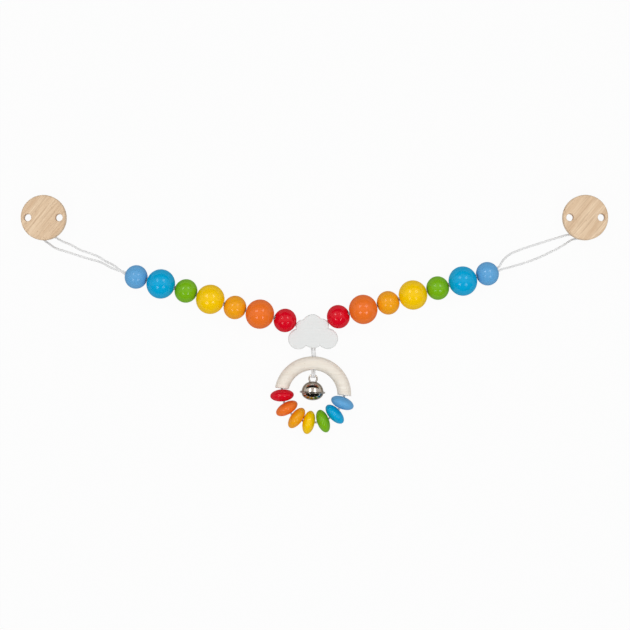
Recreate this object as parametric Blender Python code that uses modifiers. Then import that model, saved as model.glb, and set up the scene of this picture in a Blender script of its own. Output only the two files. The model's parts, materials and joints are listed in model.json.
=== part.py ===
"""Pram chain toy: two strings of round wooden beads, a white cloud between them, a half
ring with lens beads and a bell hanging below the cloud, and a wooden clip at each end.

The toy lies on its back as on a table: +X runs along the chain to the right, +Y up the
chain's front and +Z away from the table. The origin is the centre of the cloud's back
face. Lengths are in metres and angles in degrees. A plan angle is measured from +X
towards +Y.
"""

import math

import bmesh
import bpy
from mathutils import Matrix, Vector

MM = 0.001

# Clearances
GAP = 0.3 * MM  # between neighbours that touch on the real toy
CUT_OVERRUN = 1.0 * MM  # how far a cutter passes the face that it cuts
WELD_DISTANCE = 0.001 * MM

# Braided cord, doubled through the beads
CORD_RADIUS = 0.9 * MM
STRAND_OFFSET = 0.75 * MM  # each strand of a doubled cord from the middle
CORD_END_ROOM = 0.45 * MM  # a stretch of cord stops this far from the point it bends about
LAST_CORD_ROOM = 2.0 * MM  # the last bead's cord stops this far inside its mouth
LOOP_SEAT = 1.0 * MM  # the free loop starts this far inside that mouth
CORD_LEAN_SHARE = 0.4  # how far a cord's end leans from its bead's axis to the bend
ROUTE_STEP = 4.6 * MM  # spacing of a free cord's points

# Round chain beads, small and large in turn
SMALL_BEAD_RADIUS = 10.3 * MM
LARGE_BEAD_RADIUS = 12.8 * MM
BEAD_SHORTFALL = 0.4 * MM  # a turned bead is this much shorter along its bore, each way
SMALL_BORE_RADIUS = 2.6 * MM
LARGE_BORE_RADIUS = 2.8 * MM
BORE_EDGE = 0.4 * MM  # rounding of a bore's mouth
CHAIN_COLOURS = ("red", "orange", "light_orange", "yellow", "green", "blue", "light_blue")

# How each arm lies: the rise of each link above horizontal, from the cloud outward
LEFT_LINK_RISES = (14.1, 14.9, 18.3, 19.0, 15.6, 15.8)
RIGHT_LINK_RISES = (16.4, 14.8, 17.5, 15.6, 15.6, 16.6)
LEFT_CLOUD_RISE = 19.6  # from the cloud's shoulder to the first bead
RIGHT_CLOUD_RISE = 28.5
LEFT_END_RISE = 18.5  # the last bead's bore
RIGHT_END_RISE = 21.0
FIRST_BORE_SHARE = 0.4  # how far the first bead's bore turns towards the cloud

# Cloud, a flat board sawn to six round lobes: centre from the board's middle, then radius
CLOUD_THICKNESS = 12.0 * MM
CLOUD_EDGE_ROUND = 1.2 * MM
CLOUD_BORE_RADIUS = 2.6 * MM
CLOUD_CORD_LIFT = 1.2 * MM  # the cord leaves by the upper side of the bore
TOP_LOBE = (-0.6 * MM, 6.0 * MM, 9.2 * MM)
RIGHT_SHOULDER = (7.4 * MM, 5.3 * MM, 6.2 * MM)
RIGHT_LOBE = (12.6 * MM, -6.0 * MM, 8.9 * MM)
BOTTOM_LOBE = (0.0, -5.0 * MM, 9.2 * MM)
LEFT_LOBE = (-12.8 * MM, -6.2 * MM, 8.9 * MM)
LEFT_SHOULDER = (-9.0 * MM, 4.4 * MM, 6.2 * MM)
CLOUD_LOBES = (TOP_LOBE, RIGHT_SHOULDER, RIGHT_LOBE, BOTTOM_LOBE, LEFT_LOBE, LEFT_SHOULDER)

# Cord from the cloud down to the half ring
DROP_LENGTH = 7.2 * MM
DROP_LEAN = 4.0  # from straight down, towards +X
DROP_STRAND_OFFSET = 1.15 * MM
DROP_BORE_RADIUS = 2.45 * MM
DROP_JOIN = 2.0 * MM  # length over which the strands lie together inside the ring

# Half ring of round section, sawn straight across its two ends
RING_MID_RADIUS = 27.4 * MM
RING_TUBE_RADIUS = 6.0 * MM
RING_SAW_OFFSET = 2.6 * MM  # the saw cut, above the ring's centre
RING_AXIS = 83.5  # plan angle of the ring's middle, seen from its centre
RING_HOLE_TURN = 5.0  # the cord's hole from the ring's middle
RING_TILT = 4.9  # the sawn ends lie higher than the middle
RING_SWEEP = 97.0  # half of the arc that is sawn off at both ends
RING_END_HOLE_RADIUS = 1.7 * MM
RING_END_HOLE_DEPTH = 10.0 * MM
STRING_TUCK = 8.0 * MM  # how deep the lens string sits in each end

# Lens beads, standing on edge along a round string
LENS_RADIUS = 10.3 * MM
LENS_THICKNESS = 10.6 * MM
LENS_BORE_RADIUS = 2.5 * MM
LENS_ROOMS = (0.9 * MM, 1.5 * MM, 1.4 * MM, 0.7 * MM, 2.0 * MM, 1.3 * MM, 1.3 * MM, 1.5 * MM)
LENS_LEANS = (-3.5, -3.5, -4.5, -4.5, 2.0, 0.0, 0.0)  # from square to the string
STRING_LIFT = 0.7 * MM  # the string leaves by the upper side of the ring's end holes

# Bell, two stamped shells with a rolled flange, and a wire eye
BELL_TURN = -2.4  # plan turn of the bell's axis from straight down
BELL_RADIUS = 9.4 * MM
BELL_FLANGE_RADIUS = 11.1 * MM
BELL_DOME_HEIGHT = 9.4 * MM
BELL_BOWL_DEPTH = 6.4 * MM
BELL_SHEET = 0.5 * MM
BELL_REACH = 3.95 * MM  # from the ring's inner face to the middle of the eye's wire
LOOP_TUCK = 1.0 * MM  # length of the bell's loop inside the ring
LOOP_TUCK_ROOM = 1.0 * MM  # from there to the end of the cord inside the ring
LOOP_WRAP = (35.0, 280.0)  # where the loop starts and ends its way round the eye's wire
LOOP_APPROACH_SHARES = (1.25, 0.5)  # of the wrap's radius: its start before and below the wire
LOOP_RETURN_SHARE = 0.8  # of the wrap's radius: its lower strand's bend, past the ring
EYE_RADIUS = 3.4 * MM
EYE_WIRE_RADIUS = 0.75 * MM
EYE_LEG_OFFSET = 2.75 * MM
EYE_LEG_TUCK = 1.6 * MM  # length of each leg inside the dome
EYE_ABOVE_DOME = 2.3 * MM  # from the middle of the eye's circle to the dome's top
SLOT_LENGTH = 11.0 * MM
SLOT_WIDTH = 1.4 * MM
SLOT_END_RADIUS = 1.5 * MM
PELLET_RADIUS = 2.8 * MM

# Clips, each with its middle this far from the last bead's mouth
LEFT_CLIP_REACH = (-70.3 * MM, 48.1 * MM)
RIGHT_CLIP_REACH = (75.1 * MM, 45.0 * MM)
CLIP_STACK = 8.6 * MM  # height of the wooden disc's back above the table
DISC_RADIUS = 19.6 * MM
DISC_THICKNESS = 8.0 * MM
DISC_EDGE_ROUND = 1.6 * MM
VENT_RADIUS = 3.2 * MM
VENT_OFFSET = 13.6 * MM
SHEET = 0.8 * MM  # steel of the base plate and the jaw
PLATE_WIDTH = 12.4 * MM
PLATE_FRONT = 15.0 * MM
PLATE_STEP_BACK = 9.6 * MM  # where the plate steps down to the slot
SLOT_PLATE_WIDTH = 16.0 * MM
SLOT_PLATE_BACK = 18.8 * MM
SLOT_PLATE_CORNER = 4.0 * MM
SLOT_RAIL = 2.0 * MM  # width of the rail on each side of the slot
SLOT_BAR = 1.6 * MM  # width of the bar that the cord pulls on
SLOT_FRONT = 10.6 * MM
CHEEK_BACK = 9.2 * MM
CHEEK_FRONT = 6.0 * MM
CHEEK_FOOT = 1.2 * MM  # height of the cheek's lowest edge above the table
CHEEK_TOE = 2.2 * MM  # length of that edge behind the pin
CHEEK_MARGIN = 0.55 * MM  # steel below the jaw's hinge hole
CHEEK_LEDGE = 1.6 * MM  # length of the cheek's edge in front of that hole
STEP_BEND = 0.2 * MM  # the inner corner of the plate's step
JAW_PIVOT_BACK = 8.0 * MM
JAW_CHEEK_ROOM = 0.5 * MM
JAW_STUB_RADIUS = 0.55 * MM
JAW_TOOTH_HEIGHT = 0.9 * MM
JAW_TOOTH_PITCH = 1.3 * MM
JAW_TEETH = 3
PIN_FRONT = 4.0 * MM
PIN_HEIGHT = 2.4 * MM
PIN_RADIUS = 0.6 * MM
PIN_HEAD_RADIUS = 1.1 * MM
PIN_HEAD_LENGTH = 0.5 * MM
PIN_CLEARANCE = 0.2 * MM
CAM_OFFSET = 0.8 * MM  # the lever's cam is off the pin's centre by this much
LEVER_BACK = 10.0 * MM
LEVER_SHEET = 1.1 * MM
RIVET_RADIUS = 1.2 * MM
RIVET_HEAD_RADIUS = 2.6 * MM
RIVET_HEAD_LENGTH = 0.6 * MM
RIVET_DEPTH = 5.0 * MM

# Routes of the two cord loops, from the clip's middle, with each point's height
LEFT_LOOP_ROUTE = (
    (61.9 * MM, -42.4 * MM, 8.0 * MM),
    (57.4 * MM, -39.7 * MM, 4.6 * MM),
    (52.5 * MM, -37.5 * MM, 2.3 * MM),
    (46.7 * MM, -33.8 * MM, 1.0 * MM),
    (39.1 * MM, -30.6 * MM, 0.95 * MM),
    (30.5 * MM, -27.7 * MM, 0.95 * MM),
    (22.5 * MM, -23.4 * MM, 0.95 * MM),
    (15.5 * MM, -20.4 * MM, 2.9 * MM),
    (11.7 * MM, -18.3 * MM, 5.7 * MM),
    (8.7 * MM, -16.5 * MM, 7.4 * MM),
    (6.2 * MM, -15.0 * MM, 7.4 * MM),
    (3.4 * MM, -13.2 * MM, 7.3 * MM),
    (0.6 * MM, -12.3 * MM, 6.5 * MM),
    (-2.1 * MM, -12.8 * MM, 5.4 * MM),
    (-3.4 * MM, -14.8 * MM, 4.3 * MM),
    (-3.0 * MM, -17.2 * MM, 3.4 * MM),
    (-0.9 * MM, -19.4 * MM, 2.2 * MM),
    (3.2 * MM, -22.5 * MM, 1.0 * MM),
    (8.5 * MM, -26.0 * MM, 0.95 * MM),
    (19.5 * MM, -29.5 * MM, 0.95 * MM),
    (29.0 * MM, -32.6 * MM, 0.95 * MM),
    (37.9 * MM, -35.4 * MM, 0.95 * MM),
    (45.9 * MM, -37.6 * MM, 2.2 * MM),
    (51.9 * MM, -40.1 * MM, 4.9 * MM),
    (57.3 * MM, -43.0 * MM, 7.2 * MM),
    (62.5 * MM, -45.1 * MM, 9.4 * MM),
)
RIGHT_LOOP_ROUTE = (
    (-73.5 * MM, -41.5 * MM, 9.9 * MM),
    (-72.1 * MM, -38.9 * MM, 8.9 * MM),
    (-69.4 * MM, -35.6 * MM, 6.6 * MM),
    (-64.4 * MM, -31.6 * MM, 3.6 * MM),
    (-57.4 * MM, -28.3 * MM, 1.5 * MM),
    (-46.9 * MM, -24.7 * MM, 0.95 * MM),
    (-36.9 * MM, -21.5 * MM, 0.95 * MM),
    (-26.9 * MM, -18.3 * MM, 0.95 * MM),
    (-19.5 * MM, -16.1 * MM, 2.7 * MM),
    (-14.6 * MM, -14.8 * MM, 5.9 * MM),
    (-11.0 * MM, -14.6 * MM, 7.4 * MM),
    (-7.8 * MM, -14.5 * MM, 7.4 * MM),
    (-4.2 * MM, -13.6 * MM, 7.3 * MM),
    (-1.2 * MM, -12.3 * MM, 6.6 * MM),
    (1.6 * MM, -12.9 * MM, 5.5 * MM),
    (2.9 * MM, -14.8 * MM, 4.4 * MM),
    (2.2 * MM, -17.0 * MM, 3.5 * MM),
    (-0.4 * MM, -17.9 * MM, 2.7 * MM),
    (-4.8 * MM, -17.8 * MM, 1.7 * MM),
    (-10.0 * MM, -18.9 * MM, 0.95 * MM),
    (-18.0 * MM, -24.0 * MM, 0.95 * MM),
    (-27.9 * MM, -29.2 * MM, 0.95 * MM),
    (-39.9 * MM, -34.8 * MM, 0.95 * MM),
    (-50.9 * MM, -38.9 * MM, 1.3 * MM),
    (-59.5 * MM, -41.4 * MM, 3.4 * MM),
    (-66.3 * MM, -43.3 * MM, 6.8 * MM),
    (-71.5 * MM, -44.6 * MM, 9.5 * MM),
)

# Facets of round shapes
BEAD_STEPS = 18
BEAD_ARCS = 7
LENS_ARCS = 7
DISC_STEPS = 30
SMALL_STEPS = 14
BELL_STEPS = 20
BELL_ARCS = 5
RING_STEPS = 24
RING_RESOLUTION = 4
TUBE_RESOLUTION = 2
LOBE_STEP = 15.0  # turn between two points of a lobe
ROUND_ARCS = 3
STRAND_ARCS = 6
LOOP_WRAP_ARCS = 7
EYE_ARCS = 18
CAM_ARCS = 12
PELLET_SEGMENTS = 12
PELLET_RINGS = 8
SMOOTH_ANGLE = 35.0  # edges sharper than this stay sharp
HALVINGS = 60  # of the range in which the lens string's arc is sought

# Colours as the photograph shows them, then roughness and metallic value
PAINTS = {
    "red": ((228, 48, 60), 0.25, 0.0),
    "orange": ((239, 125, 55), 0.25, 0.0),
    "light_orange": ((244, 168, 45), 0.25, 0.0),
    "yellow": ((248, 202, 12), 0.25, 0.0),
    "green": ((123, 184, 42), 0.25, 0.0),
    "blue": ((8, 167, 212), 0.25, 0.0),
    "light_blue": ((105, 170, 218), 0.25, 0.0),
    "white": ((232, 234, 233), 0.45, 0.0),
    "pale_wood": ((238, 230, 218), 0.5, 0.0),
    "natural_wood": ((222, 190, 150), 0.55, 0.0),
    "cord": ((240, 240, 238), 0.85, 0.0),
    "nickel": ((200, 196, 190), 0.15, 1.0),
    "steel": ((190, 190, 192), 0.3, 1.0),
}


# Scene helpers


def clear_scene():
    for obj in list(bpy.data.objects):
        bpy.data.objects.remove(obj, do_unlink=True)


def new_collection(name):
    made = bpy.data.collections.new(name)
    bpy.context.scene.collection.children.link(made)
    return made


def linear(level):
    share = level / 255
    return share / 12.92 if share <= 0.04045 else ((share + 0.055) / 1.055) ** 2.4


def paint(obj, finish):
    """Gives the object a Principled material of its own in the named finish."""
    colour, roughness, metallic = PAINTS[finish]
    made = bpy.data.materials.new(f"{obj.name}_{finish}")
    made.use_nodes = True
    shader = made.node_tree.nodes["Principled BSDF"]
    shader.inputs["Base Color"].default_value = (*(linear(level) for level in colour), 1.0)
    shader.inputs["Roughness"].default_value = roughness
    shader.inputs["Metallic"].default_value = metallic
    obj.data.materials.clear()
    obj.data.materials.append(made)


def hang(obj, pivot):
    """Parents the object to an unturned pivot and keeps its place."""
    if pivot:
        obj.parent = pivot
        obj.matrix_parent_inverse = Matrix.Translation(pivot.location).inverted()


def add_pivot(name, at, parent=None):
    """An empty on a joint's axis, which carries what turns there."""
    pivot = bpy.data.objects.new(name, None)
    pivot.empty_display_size = SMALL_BEAD_RADIUS
    toy.objects.link(pivot)
    pivot.location = at
    hang(pivot, parent)
    return pivot


def finish_piece(obj, finish, pivot):
    paint(obj, finish)
    hang(obj, pivot)
    return obj


def new_object(name, data, frame=None, into=None):
    obj = bpy.data.objects.new(name, data)
    (into or toy).objects.link(obj)
    obj.matrix_basis = frame or Matrix.Identity(4)
    return obj


def plan(angle):
    """The unit vector at a plan angle."""
    turn = math.radians(angle)
    return Vector((math.cos(turn), math.sin(turn), 0))


def frame_along(origin, direction, side=(1, 0, 0)):
    """A frame at the origin whose Z runs along the direction and whose X is nearest to side."""
    z_axis = Vector(direction).normalized()
    x_axis = (Vector(side) - z_axis * z_axis.dot(side)).normalized()
    y_axis = z_axis.cross(x_axis)
    turn = Matrix((x_axis, y_axis, z_axis)).transposed().to_4x4()
    return Matrix.Translation(origin) @ turn


def arc_points(centre, radius, start, end, count):
    """Points on an arc, both ends included, as (x, y)."""
    turns = [math.radians(start + (end - start) * step / count) for step in range(count + 1)]
    return [(centre[0] + radius * math.cos(t), centre[1] + radius * math.sin(t)) for t in turns]


def smooth_route(points, step):
    """Points about a step apart on a smooth curve through the route's own points."""
    points = [Vector(point) for point in points]
    ends = [2 * points[0] - points[1], *points, 2 * points[-1] - points[-2]]
    route = []
    for before, start, end, after in zip(ends, ends[1:], ends[2:], ends[3:]):
        span = (end - start).length
        lead = (end - before) / ((start - before).length + span) * span
        trail = (after - start) / ((after - end).length + span) * span
        count = max(1, round(span / step))
        for number in range(count):
            t = number / count
            route.append(
                start * (2 * t**3 - 3 * t**2 + 1)
                + lead * (t**3 - 2 * t**2 + t)
                + end * (3 * t**2 - 2 * t**3)
                + trail * (t**3 - t**2)
            )
    return [*route, points[-1]]


# Shape helpers


def smooth_faces(mesh):
    mesh.shade_smooth()
    mesh.set_sharp_from_angle(angle=math.radians(SMOOTH_ANGLE))


def turned(name, profile, steps, frame=None, closed=False, into=None):
    """A profile of (radius, height) points turned round Z. It runs down its outer side."""
    mesh = bpy.data.meshes.new(name)
    edges = [(number, number + 1) for number in range(len(profile) - 1)]
    if closed:
        edges.append((len(profile) - 1, 0))
    mesh.from_pydata([(radius, 0, height) for radius, height in profile], edges, [])
    obj = new_object(name, mesh, frame, into)
    screw = obj.modifiers.new("Turn", "SCREW")
    screw.axis = "Z"
    screw.steps = steps
    screw.render_steps = steps
    screw.use_merge_vertices = True
    screw.merge_threshold = WELD_DISTANCE
    screw.use_smooth_shade = True
    return obj


def tube(name, points, radius, origin=None, resolution=TUBE_RESOLUTION):
    """A round tube along the points, with flat ends, as a poly curve."""
    origin = Vector(origin or (0, 0, 0))
    curve = bpy.data.curves.new(name, "CURVE")
    curve.dimensions = "3D"
    curve.bevel_depth = radius
    curve.bevel_resolution = resolution
    curve.use_fill_caps = True
    fill_spline(curve, [Vector(point) - origin for point in points])
    return new_object(name, curve, Matrix.Translation(origin))


def fill_spline(curve, points, cyclic=False):
    spline = curve.splines.new("POLY")
    spline.points.add(len(points) - 1)
    for target, point in zip(spline.points, points):
        target.co = (*point, 1)
    spline.use_cyclic_u = cyclic
    return spline


def doubled_cord(name, points, origin=None, upright=False):
    """Two strands side by side along the points, level with each other, as one body."""
    curve = tube(name, points, 0, origin).data
    curve.bevel_mode = "OBJECT"
    curve.bevel_object = strand_pair
    curve.twist_mode = "MINIMUM" if upright else "Z_UP"
    return as_mesh(bpy.data.objects[name])


def flat_piece(name, outlines, thickness, frame=None, edge_round=0, into=None):
    """A plate in the frame's XY plane, centred on it, from closed outlines of (x, y)."""
    curve = bpy.data.curves.new(name, "CURVE")
    curve.dimensions = "2D"
    curve.fill_mode = "BOTH"
    curve.extrude = thickness / 2 - edge_round
    curve.bevel_depth = edge_round
    curve.bevel_resolution = 1
    curve.offset = -edge_round
    for outline in outlines:
        fill_spline(curve, [(x, y, 0) for x, y in outline], cyclic=True)
    return as_mesh(new_object(name, curve, frame, into))


def as_mesh(curve_object):
    """The curve object as a welded mesh object of the same name and place."""
    bpy.context.view_layer.update()
    graph = bpy.context.evaluated_depsgraph_get()
    name = curve_object.name
    mesh = bpy.data.meshes.new_from_object(curve_object.evaluated_get(graph))
    home = curve_object.users_collection[0]
    frame = curve_object.matrix_world.copy()
    bpy.data.objects.remove(curve_object, do_unlink=True)
    body = bmesh.new()
    body.from_mesh(mesh)
    bmesh.ops.remove_doubles(body, verts=body.verts, dist=WELD_DISTANCE)
    bmesh.ops.recalc_face_normals(body, faces=body.faces)
    body.to_mesh(mesh)
    body.free()
    smooth_faces(mesh)
    return new_object(name, mesh, frame, home)


def rod(name, start, end, radius, steps=SMALL_STEPS, into=None):
    """A plain cylinder between two points."""
    start, end = Vector(start), Vector(end)
    along = end - start
    body = bmesh.new()
    bmesh.ops.create_cone(
        body, cap_ends=True, segments=steps, radius1=radius, radius2=radius, depth=along.length
    )
    mesh = bpy.data.meshes.new(name)
    body.to_mesh(mesh)
    body.free()
    smooth_faces(mesh)
    side = min(Matrix.Identity(3), key=lambda axis: abs(axis.dot(along)))
    return new_object(name, mesh, frame_along((start + end) / 2, along, side), into)


def box(name, centre, size, frame=None, into=None):
    """A box about a centre, both given in the frame."""
    body = bmesh.new()
    bmesh.ops.create_cube(body, size=1.0)
    bmesh.ops.scale(body, vec=size, verts=body.verts)
    bmesh.ops.translate(body, vec=centre, verts=body.verts)
    mesh = bpy.data.meshes.new(name)
    body.to_mesh(mesh)
    body.free()
    return new_object(name, mesh, frame, into)


def combine(obj, other, operation):
    """Joins or cuts with another object, which stays as a hidden helper."""
    for home in list(other.users_collection):
        home.objects.unlink(other)
    cutters.objects.link(other)
    other.hide_render = True
    other.display_type = "WIRE"
    step = obj.modifiers.new(other.name, "BOOLEAN")
    step.operation = operation
    step.object = other
    return obj


def cut(obj, *others):
    for other in others:
        combine(obj, other, "DIFFERENCE")


def join(obj, *others):
    for other in others:
        combine(obj, other, "UNION")


def strand_pair_profile():
    """The outline of two cord strands that lie against each other, as a hidden guide."""
    reach = math.degrees(math.acos(STRAND_OFFSET / CORD_RADIUS))
    right = arc_points((STRAND_OFFSET, 0), CORD_RADIUS, reach - 180, 180 - reach, STRAND_ARCS)
    left = arc_points((-STRAND_OFFSET, 0), CORD_RADIUS, reach, 360 - reach, STRAND_ARCS)
    curve = bpy.data.curves.new("strand_pair", "CURVE")
    curve.dimensions = "2D"
    fill_spline(curve, [(x, y, 0) for x, y in [*right[:-1], *left[:-1]]], cyclic=True)
    guide = new_object("strand_pair", curve, into=cutters)
    guide.hide_render = True
    guide.display_type = "WIRE"
    return guide


def bored_round(name, radius, half_length, bore, arcs, steps, frame):
    """A bead turned about its bore: an ellipse with the bore through it and soft mouths."""
    mouth = math.degrees(math.asin((bore + BORE_EDGE) / radius))
    rim = [
        (x, y * half_length / radius)
        for x, y in arc_points((0, 0), radius, 90 - mouth, mouth - 90, arcs)
    ]
    inset = rim[0][1] - BORE_EDGE
    profile = [(bore, inset), *rim, (bore, -inset)]
    return turned(name, profile, steps, frame, closed=True)


# Chain of beads


class Arm:
    """One half of the chain: its sizes, and the places that they lead to."""

    def __init__(self, side, shoulder, cloud_rise, link_rises, end_rise):
        self.side = side
        self.out = -1 if side == "left" else 1
        self.radii = [
            LARGE_BEAD_RADIUS if number % 2 else SMALL_BEAD_RADIUS
            for number in range(len(CHAIN_COLOURS))
        ]
        self.halves = [radius - BEAD_SHORTFALL for radius in self.radii]
        self.headings = [self.heading(rise) for rise in (cloud_rise, *link_rises)]
        self.bores = self.bore_headings(cloud_rise, link_rises, end_rise)
        self.centres, self.bends = self.bead_places(shoulder)
        self.mouth = self.centres[-1] + self.bores[-1] * (self.halves[-1] + GAP / 2)
        self.mouth.z = cord_height()

    def heading(self, rise):
        return plan(rise if self.out > 0 else 180 - rise)

    def bore_headings(self, cloud_rise, link_rises, end_rise):
        """Each bead's bore lies between the links on its two sides."""
        first = link_rises[0] + (cloud_rise - link_rises[0]) * FIRST_BORE_SHARE
        middle = [(before + after) / 2 for before, after in zip(link_rises, link_rises[1:])]
        return [self.heading(rise) for rise in (first, *middle, end_rise)]

    def bead_places(self, shoulder):
        """Each bead's centre, and the point between it and its inner neighbour."""
        across = Vector((shoulder[0], shoulder[1], 0))
        centre = across + self.headings[0] * (shoulder[2] + GAP + self.halves[0])
        centre.z = self.radii[0]
        bend = across + self.headings[0] * (shoulder[2] + GAP / 2)
        bend.z = CLOUD_THICKNESS / 2 + CLOUD_CORD_LIFT
        centres, bends = [centre], [bend]
        for number, heading in enumerate(self.headings[1:]):
            inner, outer = self.halves[number], self.halves[number + 1]
            reach = inner + outer + GAP
            step = math.sqrt(reach**2 - (outer - inner) ** 2)
            bend = centres[-1] + heading * step * (inner + GAP / 2) / reach
            bend.z = cord_height()
            centre = centres[-1] + heading * step
            centre.z = self.radii[number + 1]
            centres.append(centre)
            bends.append(bend)
        return centres, bends


def cord_height():
    """The height at which a small and a large bead on the table meet."""
    return 2 * SMALL_BEAD_RADIUS * LARGE_BEAD_RADIUS / (SMALL_BEAD_RADIUS + LARGE_BEAD_RADIUS)


def build_bead(arm, number, start, end, pivot):
    """A bead on its own pivot, with its bore along the cord's slope."""
    name = f"{arm.side}_bead_{CHAIN_COLOURS[number]}"
    radius = arm.radii[number]
    bore = LARGE_BORE_RADIUS if radius > SMALL_BEAD_RADIUS else SMALL_BORE_RADIUS
    slope = (end.z - start.z) / (end - start).to_2d().length
    direction = arm.bores[number] + Vector((0, 0, slope))
    spin = add_pivot(f"{name}_spin", arm.centres[number], pivot)
    frame = frame_along(arm.centres[number], direction, (0, 0, 1))
    bead = bored_round(name, radius, arm.halves[number], bore, BEAD_ARCS, BEAD_STEPS, frame)
    finish_piece(bead, CHAIN_COLOURS[number], spin)


def bore_point(arm, number, bend, outward):
    """Where the cord leaves a bead: near the bend, and not past the bore's wall."""
    on_axis = arm.centres[number] + arm.bores[number] * outward * arm.halves[number]
    lean = bend - on_axis
    point = on_axis + lean * CORD_LEAN_SHARE
    point.z = bend.z
    return point


def build_arm(arm, root):
    """The cords and beads of one arm. It returns the pivot of the last bead's cord."""
    pivot = root
    for number, colour in enumerate(CHAIN_COLOURS):
        bend = arm.bends[number]
        following = [*arm.bends[1:], arm.mouth][number]
        pivot = add_pivot(f"{arm.side}_bend_{colour}", bend, pivot)
        start = bore_point(arm, number, bend, -1)
        end = bore_point(arm, number, following, 1)
        along = (end - start).normalized()
        end_room = LAST_CORD_ROOM if following == arm.mouth else CORD_END_ROOM
        route = [start + along * CORD_END_ROOM, end - along * end_room]
        cord = doubled_cord(f"{arm.side}_cord_{colour}", route, bend)
        finish_piece(cord, "cord", pivot)
        build_bead(arm, number, start, end, pivot)
    return pivot


# Cloud


def lobe_meeting(first, second):
    """The outer point where two neighbouring lobes cross."""
    (x1, y1, r1), (x2, y2, r2) = first, second
    between = Vector((x2 - x1, y2 - y1))
    apart = between.length
    along = (apart**2 + r1**2 - r2**2) / (2 * apart)
    across = math.sqrt(r1**2 - along**2)
    between.normalize()
    outward = Vector((-between.y, between.x))
    return Vector((x1, y1)) + between * along + outward * across


def plan_angle(vector):
    return math.degrees(math.atan2(vector.y, vector.x))


def cloud_outline():
    """The lobes' arcs from crossing to crossing, clockwise from the top lobe."""
    outline = []
    befores = [CLOUD_LOBES[-1], *CLOUD_LOBES]
    afters = [*CLOUD_LOBES[1:], CLOUD_LOBES[0]]
    for before, lobe, after in zip(befores, CLOUD_LOBES, afters):
        middle = Vector(lobe[:2])
        start = plan_angle(lobe_meeting(before, lobe) - middle)
        end = plan_angle(lobe_meeting(lobe, after) - middle)
        sweep = (end - start) % -360
        count = round(-sweep / LOBE_STEP)
        outline += arc_points(middle, lobe[2], start, start + sweep, count)[:-1]
    return outline


def cloud_bottom():
    """The middle of the bottom lobe's lowest edge, at half thickness."""
    return Vector((BOTTOM_LOBE[0], BOTTOM_LOBE[1] - BOTTOM_LOBE[2], CLOUD_THICKNESS / 2))


def build_cloud(arms, root):
    middle = Matrix.Translation((0, 0, CLOUD_THICKNESS / 2))
    board = flat_piece("cloud", [cloud_outline()], CLOUD_THICKNESS, middle, CLOUD_EDGE_ROUND)
    ends = [Vector((*arm.bends[0].to_2d(), CLOUD_THICKNESS / 2)) for arm in arms]
    along = (ends[1] - ends[0]).normalized() * CUT_OVERRUN
    bottom = cloud_bottom()
    crossing = ends[0] + (ends[1] - ends[0]) * (bottom.x - ends[0].x) / (ends[1].x - ends[0].x)
    cut(
        board,
        rod("cloud_bore", ends[0] - along, ends[1] + along, CLOUD_BORE_RADIUS),
        rod("drop_bore", crossing, bottom - Vector((0, CUT_OVERRUN, 0)), DROP_BORE_RADIUS),
    )
    finish_piece(board, "white", root)
    build_cloud_cord(arms, crossing, bottom, root)


def build_cloud_cord(arms, crossing, bottom, root):
    """The doubled cord across the cloud with the drop cord's two strands hitched to it."""
    starts = [arm.bends[0] for arm in arms]
    along = (starts[1] - starts[0]).normalized() * CORD_END_ROOM
    level = [starts[0] + along, crossing, starts[1] - along]
    cord = doubled_cord("cloud_cord", level)
    sideways = Vector((DROP_STRAND_OFFSET, 0, 0))
    end = bottom + Vector((0, CORD_END_ROOM, 0))
    for sign in (-1, 1):
        strand = [crossing + sideways * sign, end + sideways * sign]
        join(cord, as_mesh(tube(f"hitch_{sign}", strand, CORD_RADIUS)))
    finish_piece(cord, "cord", root)


# Drop cord and half ring


def ring_mouth():
    """The outer mouth of the ring's cord hole."""
    mouth = cloud_bottom() + plan(DROP_LEAN - 90) * DROP_LENGTH
    mouth.z = RING_TUBE_RADIUS * (1 - math.sin(math.radians(RING_TILT)))
    return mouth


def ring_frame():
    """The frame of the ring's plane, with its origin at the outer mouth."""
    return Matrix.Translation(ring_mouth()) @ Matrix.Rotation(-math.radians(RING_TILT), 4, "X")


def ring_centre():
    """The ring's centre in its own plane."""
    return -plan(RING_AXIS + RING_HOLE_TURN) * (RING_MID_RADIUS + RING_TUBE_RADIUS)


def ring_end(sign):
    """The middle of a sawn end in the ring's plane. The sign is -1 on the left."""
    across = math.sqrt(RING_MID_RADIUS**2 - RING_SAW_OFFSET**2)
    return ring_centre() + plan(RING_AXIS) * RING_SAW_OFFSET + plan(RING_AXIS - 90) * across * sign


def build_drop(root):
    """The two strands from the cloud to the ring, which lie together inside the ring."""
    pivot = add_pivot("drop_swing", cloud_bottom(), root)
    start = cloud_bottom() - Vector((0, CORD_END_ROOM, 0))
    mouth = ring_mouth()
    inward = (ring_frame().to_3x3() @ -plan(RING_AXIS + RING_HOLE_TURN)).normalized()
    meeting = mouth + inward * DROP_JOIN / 2
    end = mouth + inward * DROP_JOIN
    cord = doubled_cord("drop_cord", [meeting, end], mouth)
    for sign in (-1, 1):
        apart = Vector((DROP_STRAND_OFFSET * sign, 0, 0))
        together = Vector((STRAND_OFFSET * sign, 0, 0))
        lead = [start + apart, (start + mouth) / 2 + apart]
        route = [*lead, meeting + together, end + together - inward * GAP]
        join(cord, as_mesh(tube(f"drop_strand_{sign}", route, CORD_RADIUS)))
    finish_piece(cord, "cord", pivot)
    return pivot


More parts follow.
